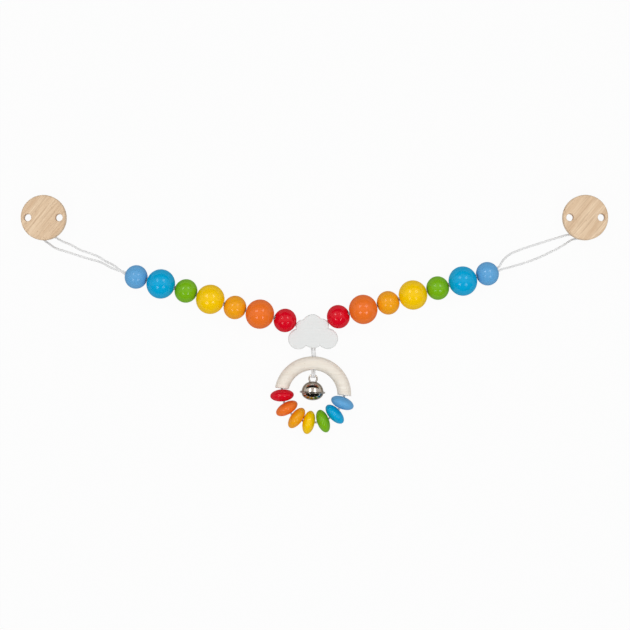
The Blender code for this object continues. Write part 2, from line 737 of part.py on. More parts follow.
def build_ring(drop):
    """The half ring with its cord hole and a blind hole in each sawn end."""
    pivot = add_pivot("ring_swing", ring_mouth(), drop)
    frame = ring_frame()
    centre = ring_centre()
    sweep = (RING_AXIS - RING_SWEEP, RING_AXIS + RING_SWEEP)
    arc = arc_points(centre, RING_MID_RADIUS, *sweep, RING_STEPS)
    points = [(x, y, 0) for x, y in arc]
    ring = tube("half_ring", points, RING_TUBE_RADIUS, resolution=RING_RESOLUTION)
    ring.matrix_basis = frame
    ring = as_mesh(ring)
    reach = RING_MID_RADIUS + RING_TUBE_RADIUS + CUT_OVERRUN
    turn = Matrix.Rotation(math.radians(RING_AXIS - 90), 4, "Z")
    saw_frame = frame @ Matrix.Translation(centre) @ turn
    saw_middle = (0, RING_SAW_OFFSET - reach / 2, 0)
    cut(ring, box("ring_saw", saw_middle, (2 * reach, reach, 2 * reach), saw_frame))
    through = plan(RING_AXIS + RING_HOLE_TURN)
    hole = [CUT_OVERRUN * through, -(2 * RING_TUBE_RADIUS + CUT_OVERRUN) * through]
    cut(ring, rod("ring_hole", frame @ hole[0], frame @ hole[1], DROP_BORE_RADIUS))
    for sign in (-1, 1):
        start = ring_end(sign) - plan(RING_AXIS) * CUT_OVERRUN
        end = ring_end(sign) + plan(RING_AXIS) * RING_END_HOLE_DEPTH
        cut(ring, rod(f"end_hole_{sign}", frame @ start, frame @ end, RING_END_HOLE_RADIUS))
    finish_piece(ring, "pale_wood", pivot)
    build_ring_cord(pivot)
    return pivot


def build_ring_cord(pivot):
    """The doubled cord inside the ring's hole, below where the drop cord ends."""
    inward = -plan(RING_AXIS + RING_HOLE_TURN)
    start = ring_frame() @ (inward * (DROP_JOIN + GAP))
    end = ring_frame() @ (inward * (2 * RING_TUBE_RADIUS - LOOP_TUCK - LOOP_TUCK_ROOM))
    finish_piece(doubled_cord("ring_cord", [start, end], ring_mouth()), "cord", pivot)


# Lens beads


def half_turn_of_arc(ratio):
    """The half angle of the arc whose length is this many times its chord."""
    low, high = 0.0, math.pi
    for _ in range(HALVINGS):
        middle = (low + high) / 2
        if middle == 0 or middle / math.sin(middle) < ratio:
            low = middle
        else:
            high = middle
    return low


class LensString:
    """The arc that the lens beads lie along, from the ring's left end to its right end."""

    def __init__(self):
        self.ends = [ring_frame() @ ring_end(sign) for sign in (-1, 1)]
        left, right = (Vector((end.x, end.y, 0)) for end in self.ends)
        length = sum(LENS_ROOMS) + LENS_THICKNESS * len(CHAIN_COLOURS)
        self.along = (right - left).normalized()
        self.down = Vector((self.along.y, -self.along.x, 0))
        self.half_turn = half_turn_of_arc(length / (right - left).length)
        self.radius = length / (2 * self.half_turn)
        self.centre = (left + right) / 2 - self.down * self.radius * math.cos(self.half_turn)

    def place(self, distance):
        """The point and the tangent at a distance along the arc."""
        turn = self.half_turn - distance / self.radius
        outward = self.down * math.cos(turn) - self.along * math.sin(turn)
        point = self.centre + outward * self.radius
        point.z = LENS_RADIUS
        return point, self.down * math.sin(turn) + self.along * math.cos(turn)

    def bead_places(self):
        distance = -LENS_THICKNESS / 2
        places = []
        for room in LENS_ROOMS[:-1]:
            distance += room + LENS_THICKNESS
            places.append(self.place(distance))
        return places


def build_lenses(ring):
    """The seven lens beads, each on its own pivot, and the string through them."""
    string = LensString()
    places = string.bead_places()
    for colour, lean, (centre, tangent) in zip(CHAIN_COLOURS, LENS_LEANS, places):
        name = f"lens_{colour}"
        direction = Matrix.Rotation(math.radians(lean), 3, "Z") @ tangent
        spin = add_pivot(f"{name}_spin", centre, ring)
        frame = frame_along(centre, direction, (0, 0, 1))
        size = (LENS_RADIUS, LENS_THICKNESS / 2, LENS_BORE_RADIUS)
        finish_piece(bored_round(name, *size, LENS_ARCS, BEAD_STEPS, frame), colour, spin)
    build_string(string, places, ring)


def build_string(string, places, ring):
    """The single cord from deep in one end of the ring, through the lenses, to the other."""
    inward = ring_frame().to_3x3() @ plan(RING_AXIS)
    lift = Vector((0, 0, STRING_LIFT))
    centres = [centre for centre, _ in places]
    route = [string.ends[0] + inward * STRING_TUCK, string.ends[0] + lift]
    route += [centre.copy() for centre in centres]
    route += [string.ends[1] + lift, string.ends[1] + inward * STRING_TUCK]
    for outer, inner in ((2, 1), (-3, -2)):
        route[outer].z = (route[outer].z + route[inner].z) / 2
    cord = tube("lens_string", smooth_route(route, ROUTE_STEP), CORD_RADIUS, ring_mouth())
    finish_piece(cord, "cord", ring)


# Bell

LOOP_ROOM = CORD_RADIUS + EYE_WIRE_RADIUS + GAP  # the loop's middle from the wire's middle
LOOP_STRAND_RISE = CORD_RADIUS + GAP / 2  # each side of the loop from the hole's middle


def bell_height():
    """The bell lies on the edge of its flange."""
    return BELL_FLANGE_RADIUS


def ring_inner_mouth():
    inward = -plan(RING_AXIS + RING_HOLE_TURN)
    return ring_frame() @ (inward * 2 * RING_TUBE_RADIUS)


def bell_direction():
    return plan(BELL_TURN - 90)


def eye_wire():
    """The middle of the eye's wire where the cord hangs it."""
    point = ring_inner_mouth() + bell_direction() * BELL_REACH
    point.z = bell_height()
    return point


def build_bell_loop(ring):
    """The doubled cord out of the ring, over the eye's wire, through the eye and back."""
    mouth = ring_inner_mouth()
    pivot = add_pivot("bell_loop_swing", mouth, ring)
    wire = eye_wire()
    away = bell_direction()
    up = Vector((0, 0, 1))
    depth = -away * LOOP_TUCK
    before, below = (LOOP_ROOM * share for share in LOOP_APPROACH_SHARES)
    high = [mouth + up * LOOP_STRAND_RISE, wire - away * before - up * below]
    wrap = [
        wire - away * x + up * y
        for x, y in arc_points((0, 0), LOOP_ROOM, *LOOP_WRAP, LOOP_WRAP_ARCS)
    ]
    past = away * LOOP_ROOM * LOOP_RETURN_SHARE
    low = [mouth + past + up * (LOOP_STRAND_RISE - LOOP_ROOM), mouth - up * LOOP_STRAND_RISE]
    route = [high[0] + depth, *high, *wrap, *low, low[-1] + depth]
    cord = doubled_cord("bell_loop", smooth_route(route, 2 * CORD_RADIUS), mouth, upright=True)
    finish_piece(cord, "cord", pivot)
    return pivot


def bell_frame():
    """The bell's frame: origin on the eye's wire, Z back along the bell, X to the right."""
    return frame_along(eye_wire(), -bell_direction())


def flange_level():
    """The plane between the two shells, in the bell's frame."""
    return -EYE_RADIUS - EYE_ABOVE_DOME - BELL_DOME_HEIGHT


def shell_arc(height, start, end):
    return [
        (x, y * height / BELL_RADIUS)
        for x, y in arc_points((0, 0), BELL_RADIUS, start, end, BELL_ARCS)
    ]


def build_shell(name, profile, pivot):
    shell = turned(name, profile, BELL_STEPS, bell_frame())
    wall = shell.modifiers.new("Wall", "SOLIDIFY")
    wall.thickness = BELL_SHEET
    wall.offset = -1
    wall.use_even_offset = True
    return finish_piece(shell, "nickel", pivot)


def build_bell(loop):
    pivot = add_pivot("bell_swing", eye_wire(), loop)
    middle = flange_level()
    upper_level = middle + GAP / 2 + BELL_SHEET
    lower_level = middle - GAP / 2 - BELL_SHEET
    dome_height = BELL_DOME_HEIGHT - GAP / 2 - BELL_SHEET
    dome = [(x, upper_level + y) for x, y in shell_arc(dome_height, 90, 0)]
    dome = [(0, dome[0][1]), *dome[1:], (BELL_FLANGE_RADIUS, upper_level)]
    upper = build_shell("bell_upper_shell", dome, pivot)
    bowl = [(x, lower_level + y) for x, y in shell_arc(BELL_BOWL_DEPTH, 0, -90)]
    bowl = [(BELL_FLANGE_RADIUS, lower_level), *bowl[:-1], (0, bowl[-1][1])]
    lower = build_shell("bell_lower_shell", bowl, pivot)
    build_eye(upper, pivot)
    cut_sound_slot(lower, lower_level - BELL_BOWL_DEPTH)
    build_pellet(middle, pivot)
    return pivot


def build_eye(upper, pivot):
    """The wire eye, whose legs pass through the dome."""
    frame = bell_frame()
    spread = math.degrees(math.acos(EYE_LEG_OFFSET / EYE_RADIUS))
    arc = arc_points((0, -EYE_RADIUS), EYE_RADIUS, -spread, 180 + spread, EYE_ARCS)
    leg_end = -EYE_RADIUS - EYE_ABOVE_DOME - EYE_LEG_TUCK
    route = [(arc[0][0], leg_end), *arc, (arc[-1][0], leg_end)]
    eye = tube("bell_eye", [(x, 0, z) for x, z in route], EYE_WIRE_RADIUS)
    eye.matrix_basis = frame
    finish_piece(eye, "nickel", pivot)
    for x in (-EYE_LEG_OFFSET, EYE_LEG_OFFSET):
        ends = [frame @ Vector((x, 0, level)) for level in (leg_end - CUT_OVERRUN, -EYE_RADIUS)]
        cut(upper, rod(f"leg_hole_{'left' if x < 0 else 'right'}", *ends, EYE_WIRE_RADIUS + GAP))


def cut_sound_slot(lower, bottom):
    """A slot with round ends across the bowl."""
    frame = bell_frame()
    depth = BELL_BOWL_DEPTH
    cut(lower, box("sound_slot", (0, 0, bottom), (SLOT_LENGTH, SLOT_WIDTH, depth), frame))
    for x in (-SLOT_LENGTH / 2, SLOT_LENGTH / 2):
        ends = [frame @ Vector((x, 0, level)) for level in (bottom - CUT_OVERRUN, bottom + depth)]
        cut(lower, rod(f"slot_end_{'left' if x < 0 else 'right'}", *ends, SLOT_END_RADIUS))


def build_pellet(level, bell):
    """The loose ball on the lowest part of the bell's inside. It rolls round the bell's axis."""
    drop = BELL_RADIUS - BELL_SHEET - PELLET_RADIUS - 2 * GAP
    centre = bell_frame() @ Vector((0, drop, level))
    pivot = add_pivot("pellet_roll", bell_frame() @ Vector((0, 0, level)), bell)
    body = bmesh.new()
    bmesh.ops.create_uvsphere(
        body, u_segments=PELLET_SEGMENTS, v_segments=PELLET_RINGS, radius=PELLET_RADIUS
    )
    mesh = bpy.data.meshes.new("pellet")
    body.to_mesh(mesh)
    body.free()
    smooth_faces(mesh)
    finish_piece(new_object("pellet", mesh, Matrix.Translation(centre)), "steel", pivot)


# Clips

PLATE_TOP = CLIP_STACK - GAP
PLATE_BOTTOM = PLATE_TOP - SHEET
SLOT_PLATE_TOP = CLIP_STACK - 2 * CORD_RADIUS - 2 * GAP
JAW_TOP = PLATE_BOTTOM - GAP - JAW_TOOTH_HEIGHT
JAW_MIDDLE = JAW_TOP - SHEET / 2
CAM_RADIUS = JAW_TOP - SHEET - GAP - PIN_HEIGHT - CAM_OFFSET
CHEEK_INNER = PLATE_WIDTH / 2 - SHEET
SIDE_FRAME = Matrix(((0, 0, 1, 0), (1, 0, 0, 0), (0, 1, 0, 0), (0, 0, 0, 1)))


def side_piece(name, outline, width, clip, into=None):
    """A piece whose side outline, as (forward, height), runs across the clip."""
    return flat_piece(name, [outline], width, clip @ SIDE_FRAME, into=into)


def rounded_slot_plate():
    """The slot's frame, seen from above: square in front, round at the two back corners."""
    half = SLOT_PLATE_WIDTH / 2
    inset = SLOT_PLATE_CORNER
    outline = [(half, -PLATE_STEP_BACK)]
    outline.append((-half, -PLATE_STEP_BACK))
    outline += arc_points((inset - half, inset - SLOT_PLATE_BACK), inset, 180, 270, ROUND_ARCS)
    outline += arc_points((half - inset, inset - SLOT_PLATE_BACK), inset, 270, 360, ROUND_ARCS)
    return outline


def slot_opening():
    """The opening that the cord passes through."""
    half = SLOT_PLATE_WIDTH / 2 - SLOT_RAIL
    back = SLOT_PLATE_BACK - SLOT_BAR
    inset = SLOT_PLATE_CORNER - SLOT_RAIL
    outline = [(half, -SLOT_FRONT), (-half, -SLOT_FRONT)]
    outline += arc_points((inset - half, inset - back), inset, 180, 270, ROUND_ARCS)
    outline += arc_points((half - inset, inset - back), inset, 270, 360, ROUND_ARCS)
    return outline


def build_disc(side, clip, pivot):
    """The wooden disc with two vent holes and a blind hole for the rivet."""
    top = CLIP_STACK + DISC_THICKNESS
    rim = DISC_RADIUS - DISC_EDGE_ROUND
    profile = [(0, top), (rim, top)]
    profile += arc_points((rim, top - DISC_EDGE_ROUND), DISC_EDGE_ROUND, 90, 0, ROUND_ARCS)[1:]
    profile += arc_points((rim, CLIP_STACK + DISC_EDGE_ROUND), DISC_EDGE_ROUND, 0, -90, ROUND_ARCS)
    profile.append((0, CLIP_STACK))
    disc = turned(f"{side}_clip_disc", profile, DISC_STEPS, clip)
    for x in (-VENT_OFFSET, VENT_OFFSET):
        name = f"{side}_vent_{'left' if x < 0 else 'right'}"
        start = clip @ Vector((x, 0, CLIP_STACK - CUT_OVERRUN))
        end = clip @ Vector((x, 0, top + CUT_OVERRUN))
        cut(disc, rod(name, start, end, VENT_RADIUS, BEAD_STEPS))
    start = clip @ Vector((0, 0, PLATE_BOTTOM))
    end = clip @ Vector((0, 0, CLIP_STACK + RIVET_DEPTH + GAP))
    cut(disc, rod(f"{side}_disc_rivet_hole", start, end, RIVET_RADIUS + GAP))
    finish_piece(disc, "natural_wood", pivot)


def build_base_plate(side, clip, pivot):
    """The plate on the disc's back, with two cheeks and the slot at its lower end."""
    level = (PLATE_TOP + PLATE_BOTTOM) / 2
    step = PLATE_TOP - SLOT_PLATE_TOP
    spine = [
        (PLATE_FRONT, PLATE_BOTTOM),
        (PLATE_FRONT, PLATE_TOP),
        (-PLATE_STEP_BACK, PLATE_TOP),
        (-PLATE_STEP_BACK - SHEET, PLATE_TOP - step),
        (-PLATE_STEP_BACK - SHEET, PLATE_BOTTOM - step),
        (-PLATE_STEP_BACK, PLATE_BOTTOM - step),
        (STEP_BEND - PLATE_STEP_BACK, PLATE_BOTTOM),
    ]
    plate = side_piece(f"{side}_clip_plate", spine, PLATE_WIDTH, clip)
    slot_frame = clip @ Matrix.Translation((0, 0, SLOT_PLATE_TOP - SHEET / 2))
    slot_plate = flat_piece(f"{side}_slot_plate", [rounded_slot_plate()], SHEET, slot_frame)
    depth = SHEET + 2 * CUT_OVERRUN
    opening = flat_piece(f"{side}_slot_opening", [slot_opening()], depth, slot_frame)
    ledge = JAW_MIDDLE - JAW_STUB_RADIUS - GAP - CHEEK_MARGIN
    cheek = [
        (-CHEEK_BACK, level),
        (-CHEEK_BACK, ledge),
        (CHEEK_LEDGE - JAW_PIVOT_BACK, ledge),
        (PIN_FRONT - CHEEK_TOE, CHEEK_FOOT),
        (CHEEK_FRONT, CHEEK_FOOT),
        (CHEEK_FRONT, level),
    ]
    middle = PLATE_WIDTH / 2 - SHEET / 2
    for x in (-middle, middle):
        name = f"{side}_cheek_{'left' if x < 0 else 'right'}"
        join(plate, side_piece(name, cheek, SHEET, clip @ Matrix.Translation((x, 0, 0))))
    join(plate, slot_plate)
    across = PLATE_WIDTH / 2 + CUT_OVERRUN
    pin_bore = PIN_RADIUS + PIN_CLEARANCE
    stub_bore = JAW_STUB_RADIUS + GAP
    start = clip @ Vector((0, 0, PLATE_BOTTOM - CUT_OVERRUN))
    end = clip @ Vector((0, 0, PLATE_TOP + CUT_OVERRUN))
    cut(
        plate,
        opening,
        rod_across(f"{side}_pin_hole", clip, (PIN_FRONT, PIN_HEIGHT), across, pin_bore),
        rod_across(f"{side}_jaw_hole", clip, (-JAW_PIVOT_BACK, JAW_MIDDLE), across, stub_bore),
        rod(f"{side}_plate_rivet_hole", start, end, RIVET_RADIUS + GAP),
    )
    finish_piece(plate, "steel", pivot)


def rod_across(name, clip, place, reach, radius):
    """A rod across the clip at a (forward, height) place."""
    ends = [clip @ Vector((x, *place)) for x in (-reach, reach)]
    return rod(name, *ends, radius)


def build_rivet(side, clip, pivot):
    """The rivet that holds the disc on the plate."""
    head_top = PLATE_BOTTOM - GAP
    profile = [
        (0, CLIP_STACK + RIVET_DEPTH),
        (RIVET_RADIUS, CLIP_STACK + RIVET_DEPTH),
        (RIVET_RADIUS, head_top),
        (RIVET_HEAD_RADIUS, head_top),
        (RIVET_HEAD_RADIUS, head_top - RIVET_HEAD_LENGTH),
        (0, head_top - RIVET_HEAD_LENGTH),
    ]
    finish_piece(turned(f"{side}_clip_rivet", profile, SMALL_STEPS, clip), "steel", pivot)


def build_pin(side, clip, pivot):
    """The lever's pin, with a head outside each cheek."""
    reach = PLATE_WIDTH / 2 + GAP
    end = reach + PIN_HEAD_LENGTH
    profile = [(0, end), (PIN_HEAD_RADIUS, end), (PIN_HEAD_RADIUS, reach), (PIN_RADIUS, reach)]
    profile += [(radius, -height) for radius, height in reversed(profile)]
    frame = frame_along(clip @ Vector((0, PIN_FRONT, PIN_HEIGHT)), (1, 0, 0), (0, 0, 1))
    finish_piece(turned(f"{side}_clip_pin", profile, SMALL_STEPS, frame), "steel", pivot)


def build_jaw(side, clip, pivot):
    """The toothed jaw, hinged on two stubs at its back end."""
    swing = add_pivot(f"{side}_jaw_swing", clip @ Vector((0, -JAW_PIVOT_BACK, JAW_MIDDLE)), pivot)
    low = JAW_TOP - SHEET
    back = -JAW_PIVOT_BACK - SHEET
    outline = [(back, low), (PLATE_FRONT, low)]
    for number in range(JAW_TEETH):
        tip = PLATE_FRONT - number * JAW_TOOTH_PITCH
        outline.append((tip, JAW_TOP + JAW_TOOTH_HEIGHT))
        outline.append((tip - JAW_TOOTH_PITCH, JAW_TOP))
    outline.append((back, JAW_TOP))
    width = 2 * (CHEEK_INNER - JAW_CHEEK_ROOM)
    jaw = side_piece(f"{side}_clip_jaw", outline, width, clip)
    hinge = (-JAW_PIVOT_BACK, JAW_MIDDLE)
    join(jaw, rod_across(f"{side}_jaw_stub", clip, hinge, PLATE_WIDTH / 2, JAW_STUB_RADIUS))
    finish_piece(jaw, "steel", swing)


def build_lever(side, clip, pivot):
    """The lever, whose cam presses the jaw shut while the lever lies flat."""
    swing = add_pivot(f"{side}_lever_swing", clip @ Vector((0, PIN_FRONT, PIN_HEIGHT)), pivot)
    cam = (PIN_FRONT, PIN_HEIGHT + CAM_OFFSET)
    outline = [(-LEVER_BACK, LEVER_SHEET), (-LEVER_BACK, 0), (PIN_FRONT, 0)]
    outline += arc_points(cam, CAM_RADIUS, -45, 180, CAM_ARCS)
    outline.append((PIN_FRONT - CAM_RADIUS - LEVER_SHEET, LEVER_SHEET))
    width = 2 * (CHEEK_INNER - JAW_CHEEK_ROOM)
    lever = side_piece(f"{side}_clip_lever", outline, width, clip)
    bore = PIN_RADIUS + PIN_CLEARANCE
    cut(lever, rod_across(f"{side}_lever_hole", clip, (PIN_FRONT, PIN_HEIGHT), PLATE_WIDTH, bore))
    finish_piece(lever, "steel", swing)


def build_loop(arm, centre, route, last_cord):
    """The free loop from the last bead's mouth, round the slot's bar and back."""
    pivot = add_pivot(f"{arm.side}_loop_swing", arm.mouth, last_cord)
    sideways = Vector((-arm.bores[-1].y, arm.bores[-1].x, 0)) * (CORD_RADIUS + GAP / 2)
    middle = arm.mouth - arm.bores[-1] * LOOP_SEAT
    points = [Vector(point) + centre for point in route]
    path = [middle + sideways, *points, middle - sideways]
    cord = tube(f"{arm.side}_loop", smooth_route(path, ROUTE_STEP), CORD_RADIUS, arm.mouth)
    finish_piece(cord, "cord", pivot)
    return pivot


def build_clip(arm, reach, route, last_cord):
    side = arm.side
    centre = Vector((arm.mouth.x + reach[0], arm.mouth.y + reach[1], 0))
    clip = Matrix.Translation(centre)
    loop = build_loop(arm, centre, route, last_cord)
    bar = Vector((0, SLOT_BAR - SLOT_PLATE_BACK, SLOT_PLATE_TOP))
    pivot = add_pivot(f"{side}_clip_swivel", centre + bar, loop)
    build_disc(side, clip, pivot)
    build_base_plate(side, clip, pivot)
    build_rivet(side, clip, pivot)
    build_pin(side, clip, pivot)
    build_jaw(side, clip, pivot)
    build_lever(side, clip, pivot)


clear_scene()
toy = new_collection("pram_chain_toy")
cutters = new_collection("cutters")
strand_pair = strand_pair_profile()
cloud_root = add_pivot("cloud_root", (0, 0, 0))
left_arm = Arm("left", LEFT_SHOULDER, LEFT_CLOUD_RISE, LEFT_LINK_RISES, LEFT_END_RISE)
right_arm = Arm("right", RIGHT_SHOULDER, RIGHT_CLOUD_RISE, RIGHT_LINK_RISES, RIGHT_END_RISE)
build_cloud((left_arm, right_arm), cloud_root)
build_clip(left_arm, LEFT_CLIP_REACH, LEFT_LOOP_ROUTE, build_arm(left_arm, cloud_root))
build_clip(right_arm, RIGHT_CLIP_REACH, RIGHT_LOOP_ROUTE, build_arm(right_arm, cloud_root))
half_ring = build_ring(build_drop(cloud_root))
build_lenses(half_ring)
build_bell(build_bell_loop(half_ring))
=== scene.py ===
"""The looks of the pram chain toy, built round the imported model.

Everything is in metres in the model's own frame: +X along the chain to the right, +Y up the
chain's front and +Z away from the table. The script makes the camera and the cords first,
then the beads, the cloud, the half ring, the bell and the clips, and last the light.
"""

import json
import math

import bmesh
import bpy
import numpy as np
from mathutils import Matrix, Vector


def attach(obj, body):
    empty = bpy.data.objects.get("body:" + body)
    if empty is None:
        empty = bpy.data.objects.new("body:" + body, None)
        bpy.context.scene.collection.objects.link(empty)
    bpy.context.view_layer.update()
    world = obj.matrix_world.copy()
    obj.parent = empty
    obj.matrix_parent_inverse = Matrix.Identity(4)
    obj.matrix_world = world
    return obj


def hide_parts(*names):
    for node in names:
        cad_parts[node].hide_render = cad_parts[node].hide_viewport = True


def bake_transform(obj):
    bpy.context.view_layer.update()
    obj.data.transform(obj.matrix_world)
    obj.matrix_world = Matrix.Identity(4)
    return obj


MM = 0.001
UP = Vector((0, 0, 1))
SIDES = ("left", "right")

# Camera, straight above the table
CAMERA_PLACE = (1.56 * MM, 14.62 * MM, 1500 * MM)
CAMERA_SENSOR = 36.0  # in Blender's millimetres, as is the next value
CAMERA_LENS = 98.02
CAMERA_NEAR = 100 * MM
CAMERA_FAR = 10000 * MM

# Cords
CORD_RADIUS = 0.9 * MM
CORD_GAP = 0.3 * MM
STRAND_OFFSET = 0.88 * MM  # each strand of a doubled cord from the middle
BRAID_PLAITS = 6
BRAID_PITCH = 1.5 * MM
BRAID_DEPTH_SHARE = 0.07
BRAID_SIDES = 24
BRAID_STEP = 0.2 * MM
BRAID_SMOOTH_ANGLE = 60.0
ROUTE_STEP = 0.8 * MM
UPRIGHT_SHARE = 0.9  # a route that rises more than this starts its frames from +Y

# Beads
SMALL_BEAD_RADIUS = 10.3 * MM
LARGE_BEAD_RADIUS = 12.8 * MM
BEAD_SHORTFALL = 0.4 * MM  # a turned bead is this much shorter along its bore, each way
SMALL_BORE_RADIUS = 2.6 * MM
LARGE_BORE_RADIUS = 2.8 * MM
BORE_EDGE = 0.2 * MM
LENS_RADIUS = 10.3 * MM
LENS_THICKNESS = 10.6 * MM
LENS_BORE_RADIUS = 2.1 * MM

# Cloud
CLOUD_THICKNESS = 12.0 * MM
CLOUD_EDGE_ROUND = 1.2 * MM
CLOUD_BORE_RADIUS = 2.6 * MM
DROP_BORE_RADIUS = 2.45 * MM
CLOUD_LOBES = (
    (-0.6 * MM, 6.0 * MM, 9.2 * MM),
    (7.4 * MM, 5.3 * MM, 6.2 * MM),
    (12.6 * MM, -6.0 * MM, 8.9 * MM),
    (0.0, -5.0 * MM, 9.2 * MM),
    (-12.8 * MM, -6.2 * MM, 8.9 * MM),
    (-9.0 * MM, 4.4 * MM, 6.2 * MM),
)

# Drop cord and half ring
DROP_STRAND_OFFSET = 1.15 * MM
DROP_JOIN = 2.0 * MM  # from the ring's mouth to where the strands lie together
RING_MID_RADIUS = 27.4 * MM
RING_TUBE_RADIUS = 6.0 * MM
RING_SAW_OFFSET = 2.6 * MM
RING_AXIS = 83.5
RING_HOLE_TURN = 5.0
RING_TILT = 4.9
RING_SWEEP = 97.0
RING_END_HOLE_RADIUS = 1.7 * MM
RING_END_HOLE_DEPTH = 10.0 * MM
STRING_TUCK = 8.0 * MM
STRING_LIFT = 0.7 * MM
RING_SOFTENING = (0.35 * MM, 3, 50.0)  # width, segments and least angle

# Bell
BELL_TURN = -2.4
BELL_RADIUS = 9.4 * MM
BELL_FLANGE_RADIUS = 11.1 * MM
BELL_DOME_HEIGHT = 9.4 * MM
BELL_BOWL_DEPTH = 6.4 * MM
BELL_SHEET = 0.5 * MM
FLANGE_FILLET = 0.2 * MM
BOWL_SOFTENING = (0.1 * MM, 2, 60.0)
LOOP_TUCK = 1.0 * MM
LOOP_WRAP = (35.0, 280.0)
LOOP_WRAP_ARCS = 12
LOOP_APPROACH_SHARES = (1.25, 0.5)
LOOP_RETURN_SHARE = 0.8
EYE_RADIUS = 3.4 * MM
EYE_WIRE_RADIUS = 0.75 * MM
EYE_LEG_OFFSET = 2.75 * MM
EYE_LEG_TUCK = 1.6 * MM
EYE_ABOVE_DOME = 2.3 * MM
EYE_LEG_END = -EYE_RADIUS - EYE_ABOVE_DOME - EYE_LEG_TUCK  # below the eye's wire, as the next
FLANGE_LEVEL = -EYE_RADIUS - EYE_ABOVE_DOME - BELL_DOME_HEIGHT
SLOT_LENGTH = 11.0 * MM
SLOT_WIDTH = 1.4 * MM
SLOT_END_RADIUS = 1.5 * MM
PELLET_RADIUS = 2.8 * MM

# Clips
CLIP_STACK = 8.6 * MM
CLIP_BAR_BACK = 17.2 * MM  # the swivel point on the slot's bar behind the clip's middle
DISC_RADIUS = 19.6 * MM
DISC_THICKNESS = 8.0 * MM
DISC_EDGE_ROUND = 1.6 * MM
VENT_RADIUS = 3.2 * MM
VENT_OFFSET = 13.6 * MM
VENT_FLARE = 0.7 * MM
RIVET_RADIUS = 1.2 * MM
RIVET_DEPTH = 5.0 * MM
STEEL_SOFTENING = (0.12 * MM, 2, 40.0)
DISC_GRAIN_SHIFTS = {"left": (0, 0, 0), "right": (300 * MM, 100 * MM, 0)}
LOOP_SEAT = 1.0 * MM

# Routes of the two cord loops, from the clip's middle
LEFT_LOOP_ROUTE = (
    (61.9 * MM, -42.4 * MM, 8.0 * MM),
    (57.4 * MM, -39.7 * MM, 4.6 * MM),
    (52.5 * MM, -37.5 * MM, 2.3 * MM),
    (46.7 * MM, -33.8 * MM, 1.0 * MM),
    (39.1 * MM, -30.6 * MM, 0.95 * MM),
    (30.5 * MM, -27.7 * MM, 0.95 * MM),
    (22.5 * MM, -23.4 * MM, 0.95 * MM),
    (15.5 * MM, -20.4 * MM, 2.9 * MM),
    (11.7 * MM, -18.3 * MM, 5.7 * MM),
    (8.7 * MM, -16.5 * MM, 7.4 * MM),
    (6.2 * MM, -15.0 * MM, 7.4 * MM),
    (3.4 * MM, -13.2 * MM, 7.3 * MM),
    (0.6 * MM, -12.3 * MM, 6.5 * MM),
    (-2.1 * MM, -12.8 * MM, 5.4 * MM),
    (-3.4 * MM, -14.8 * MM, 4.3 * MM),
    (-3.0 * MM, -17.2 * MM, 3.4 * MM),
    (-0.9 * MM, -19.4 * MM, 2.2 * MM),
    (3.2 * MM, -22.5 * MM, 1.0 * MM),
    (8.5 * MM, -26.0 * MM, 0.95 * MM),
    (19.5 * MM, -29.5 * MM, 0.95 * MM),
    (29.0 * MM, -32.6 * MM, 0.95 * MM),
    (37.9 * MM, -35.4 * MM, 0.95 * MM),
    (45.9 * MM, -37.6 * MM, 2.2 * MM),
    (51.9 * MM, -40.1 * MM, 4.9 * MM),
    (57.3 * MM, -43.0 * MM, 7.2 * MM),
    (62.5 * MM, -45.1 * MM, 9.4 * MM),
)
RIGHT_LOOP_ROUTE = (
    (-73.5 * MM, -41.5 * MM, 9.9 * MM),
    (-72.1 * MM, -38.9 * MM, 8.9 * MM),
    (-69.4 * MM, -35.6 * MM, 6.6 * MM),
    (-64.4 * MM, -31.6 * MM, 3.6 * MM),
    (-57.4 * MM, -28.3 * MM, 1.5 * MM),
    (-46.9 * MM, -24.7 * MM, 0.95 * MM),
    (-36.9 * MM, -21.5 * MM, 0.95 * MM),
    (-26.9 * MM, -18.3 * MM, 0.95 * MM),
    (-19.5 * MM, -16.1 * MM, 2.7 * MM),
    (-14.6 * MM, -14.8 * MM, 5.9 * MM),
    (-11.0 * MM, -14.6 * MM, 7.4 * MM),
    (-7.8 * MM, -14.5 * MM, 7.4 * MM),
    (-4.2 * MM, -13.6 * MM, 7.3 * MM),
    (-1.2 * MM, -12.3 * MM, 6.6 * MM),
    (1.6 * MM, -12.9 * MM, 5.5 * MM),
    (2.9 * MM, -14.8 * MM, 4.4 * MM),
    (2.2 * MM, -17.0 * MM, 3.5 * MM),
    (-0.4 * MM, -17.9 * MM, 2.7 * MM),
    (-4.8 * MM, -17.8 * MM, 1.7 * MM),
    (-10.0 * MM, -18.9 * MM, 0.95 * MM),
    (-18.0 * MM, -24.0 * MM, 0.95 * MM),
    (-27.9 * MM, -29.2 * MM, 0.95 * MM),
    (-39.9 * MM, -34.8 * MM, 0.95 * MM),
    (-50.9 * MM, -38.9 * MM, 1.3 * MM),
    (-59.5 * MM, -41.4 * MM, 3.4 * MM),
    (-66.3 * MM, -43.3 * MM, 6.8 * MM),
    (-71.5 * MM, -44.6 * MM, 9.5 * MM),
)

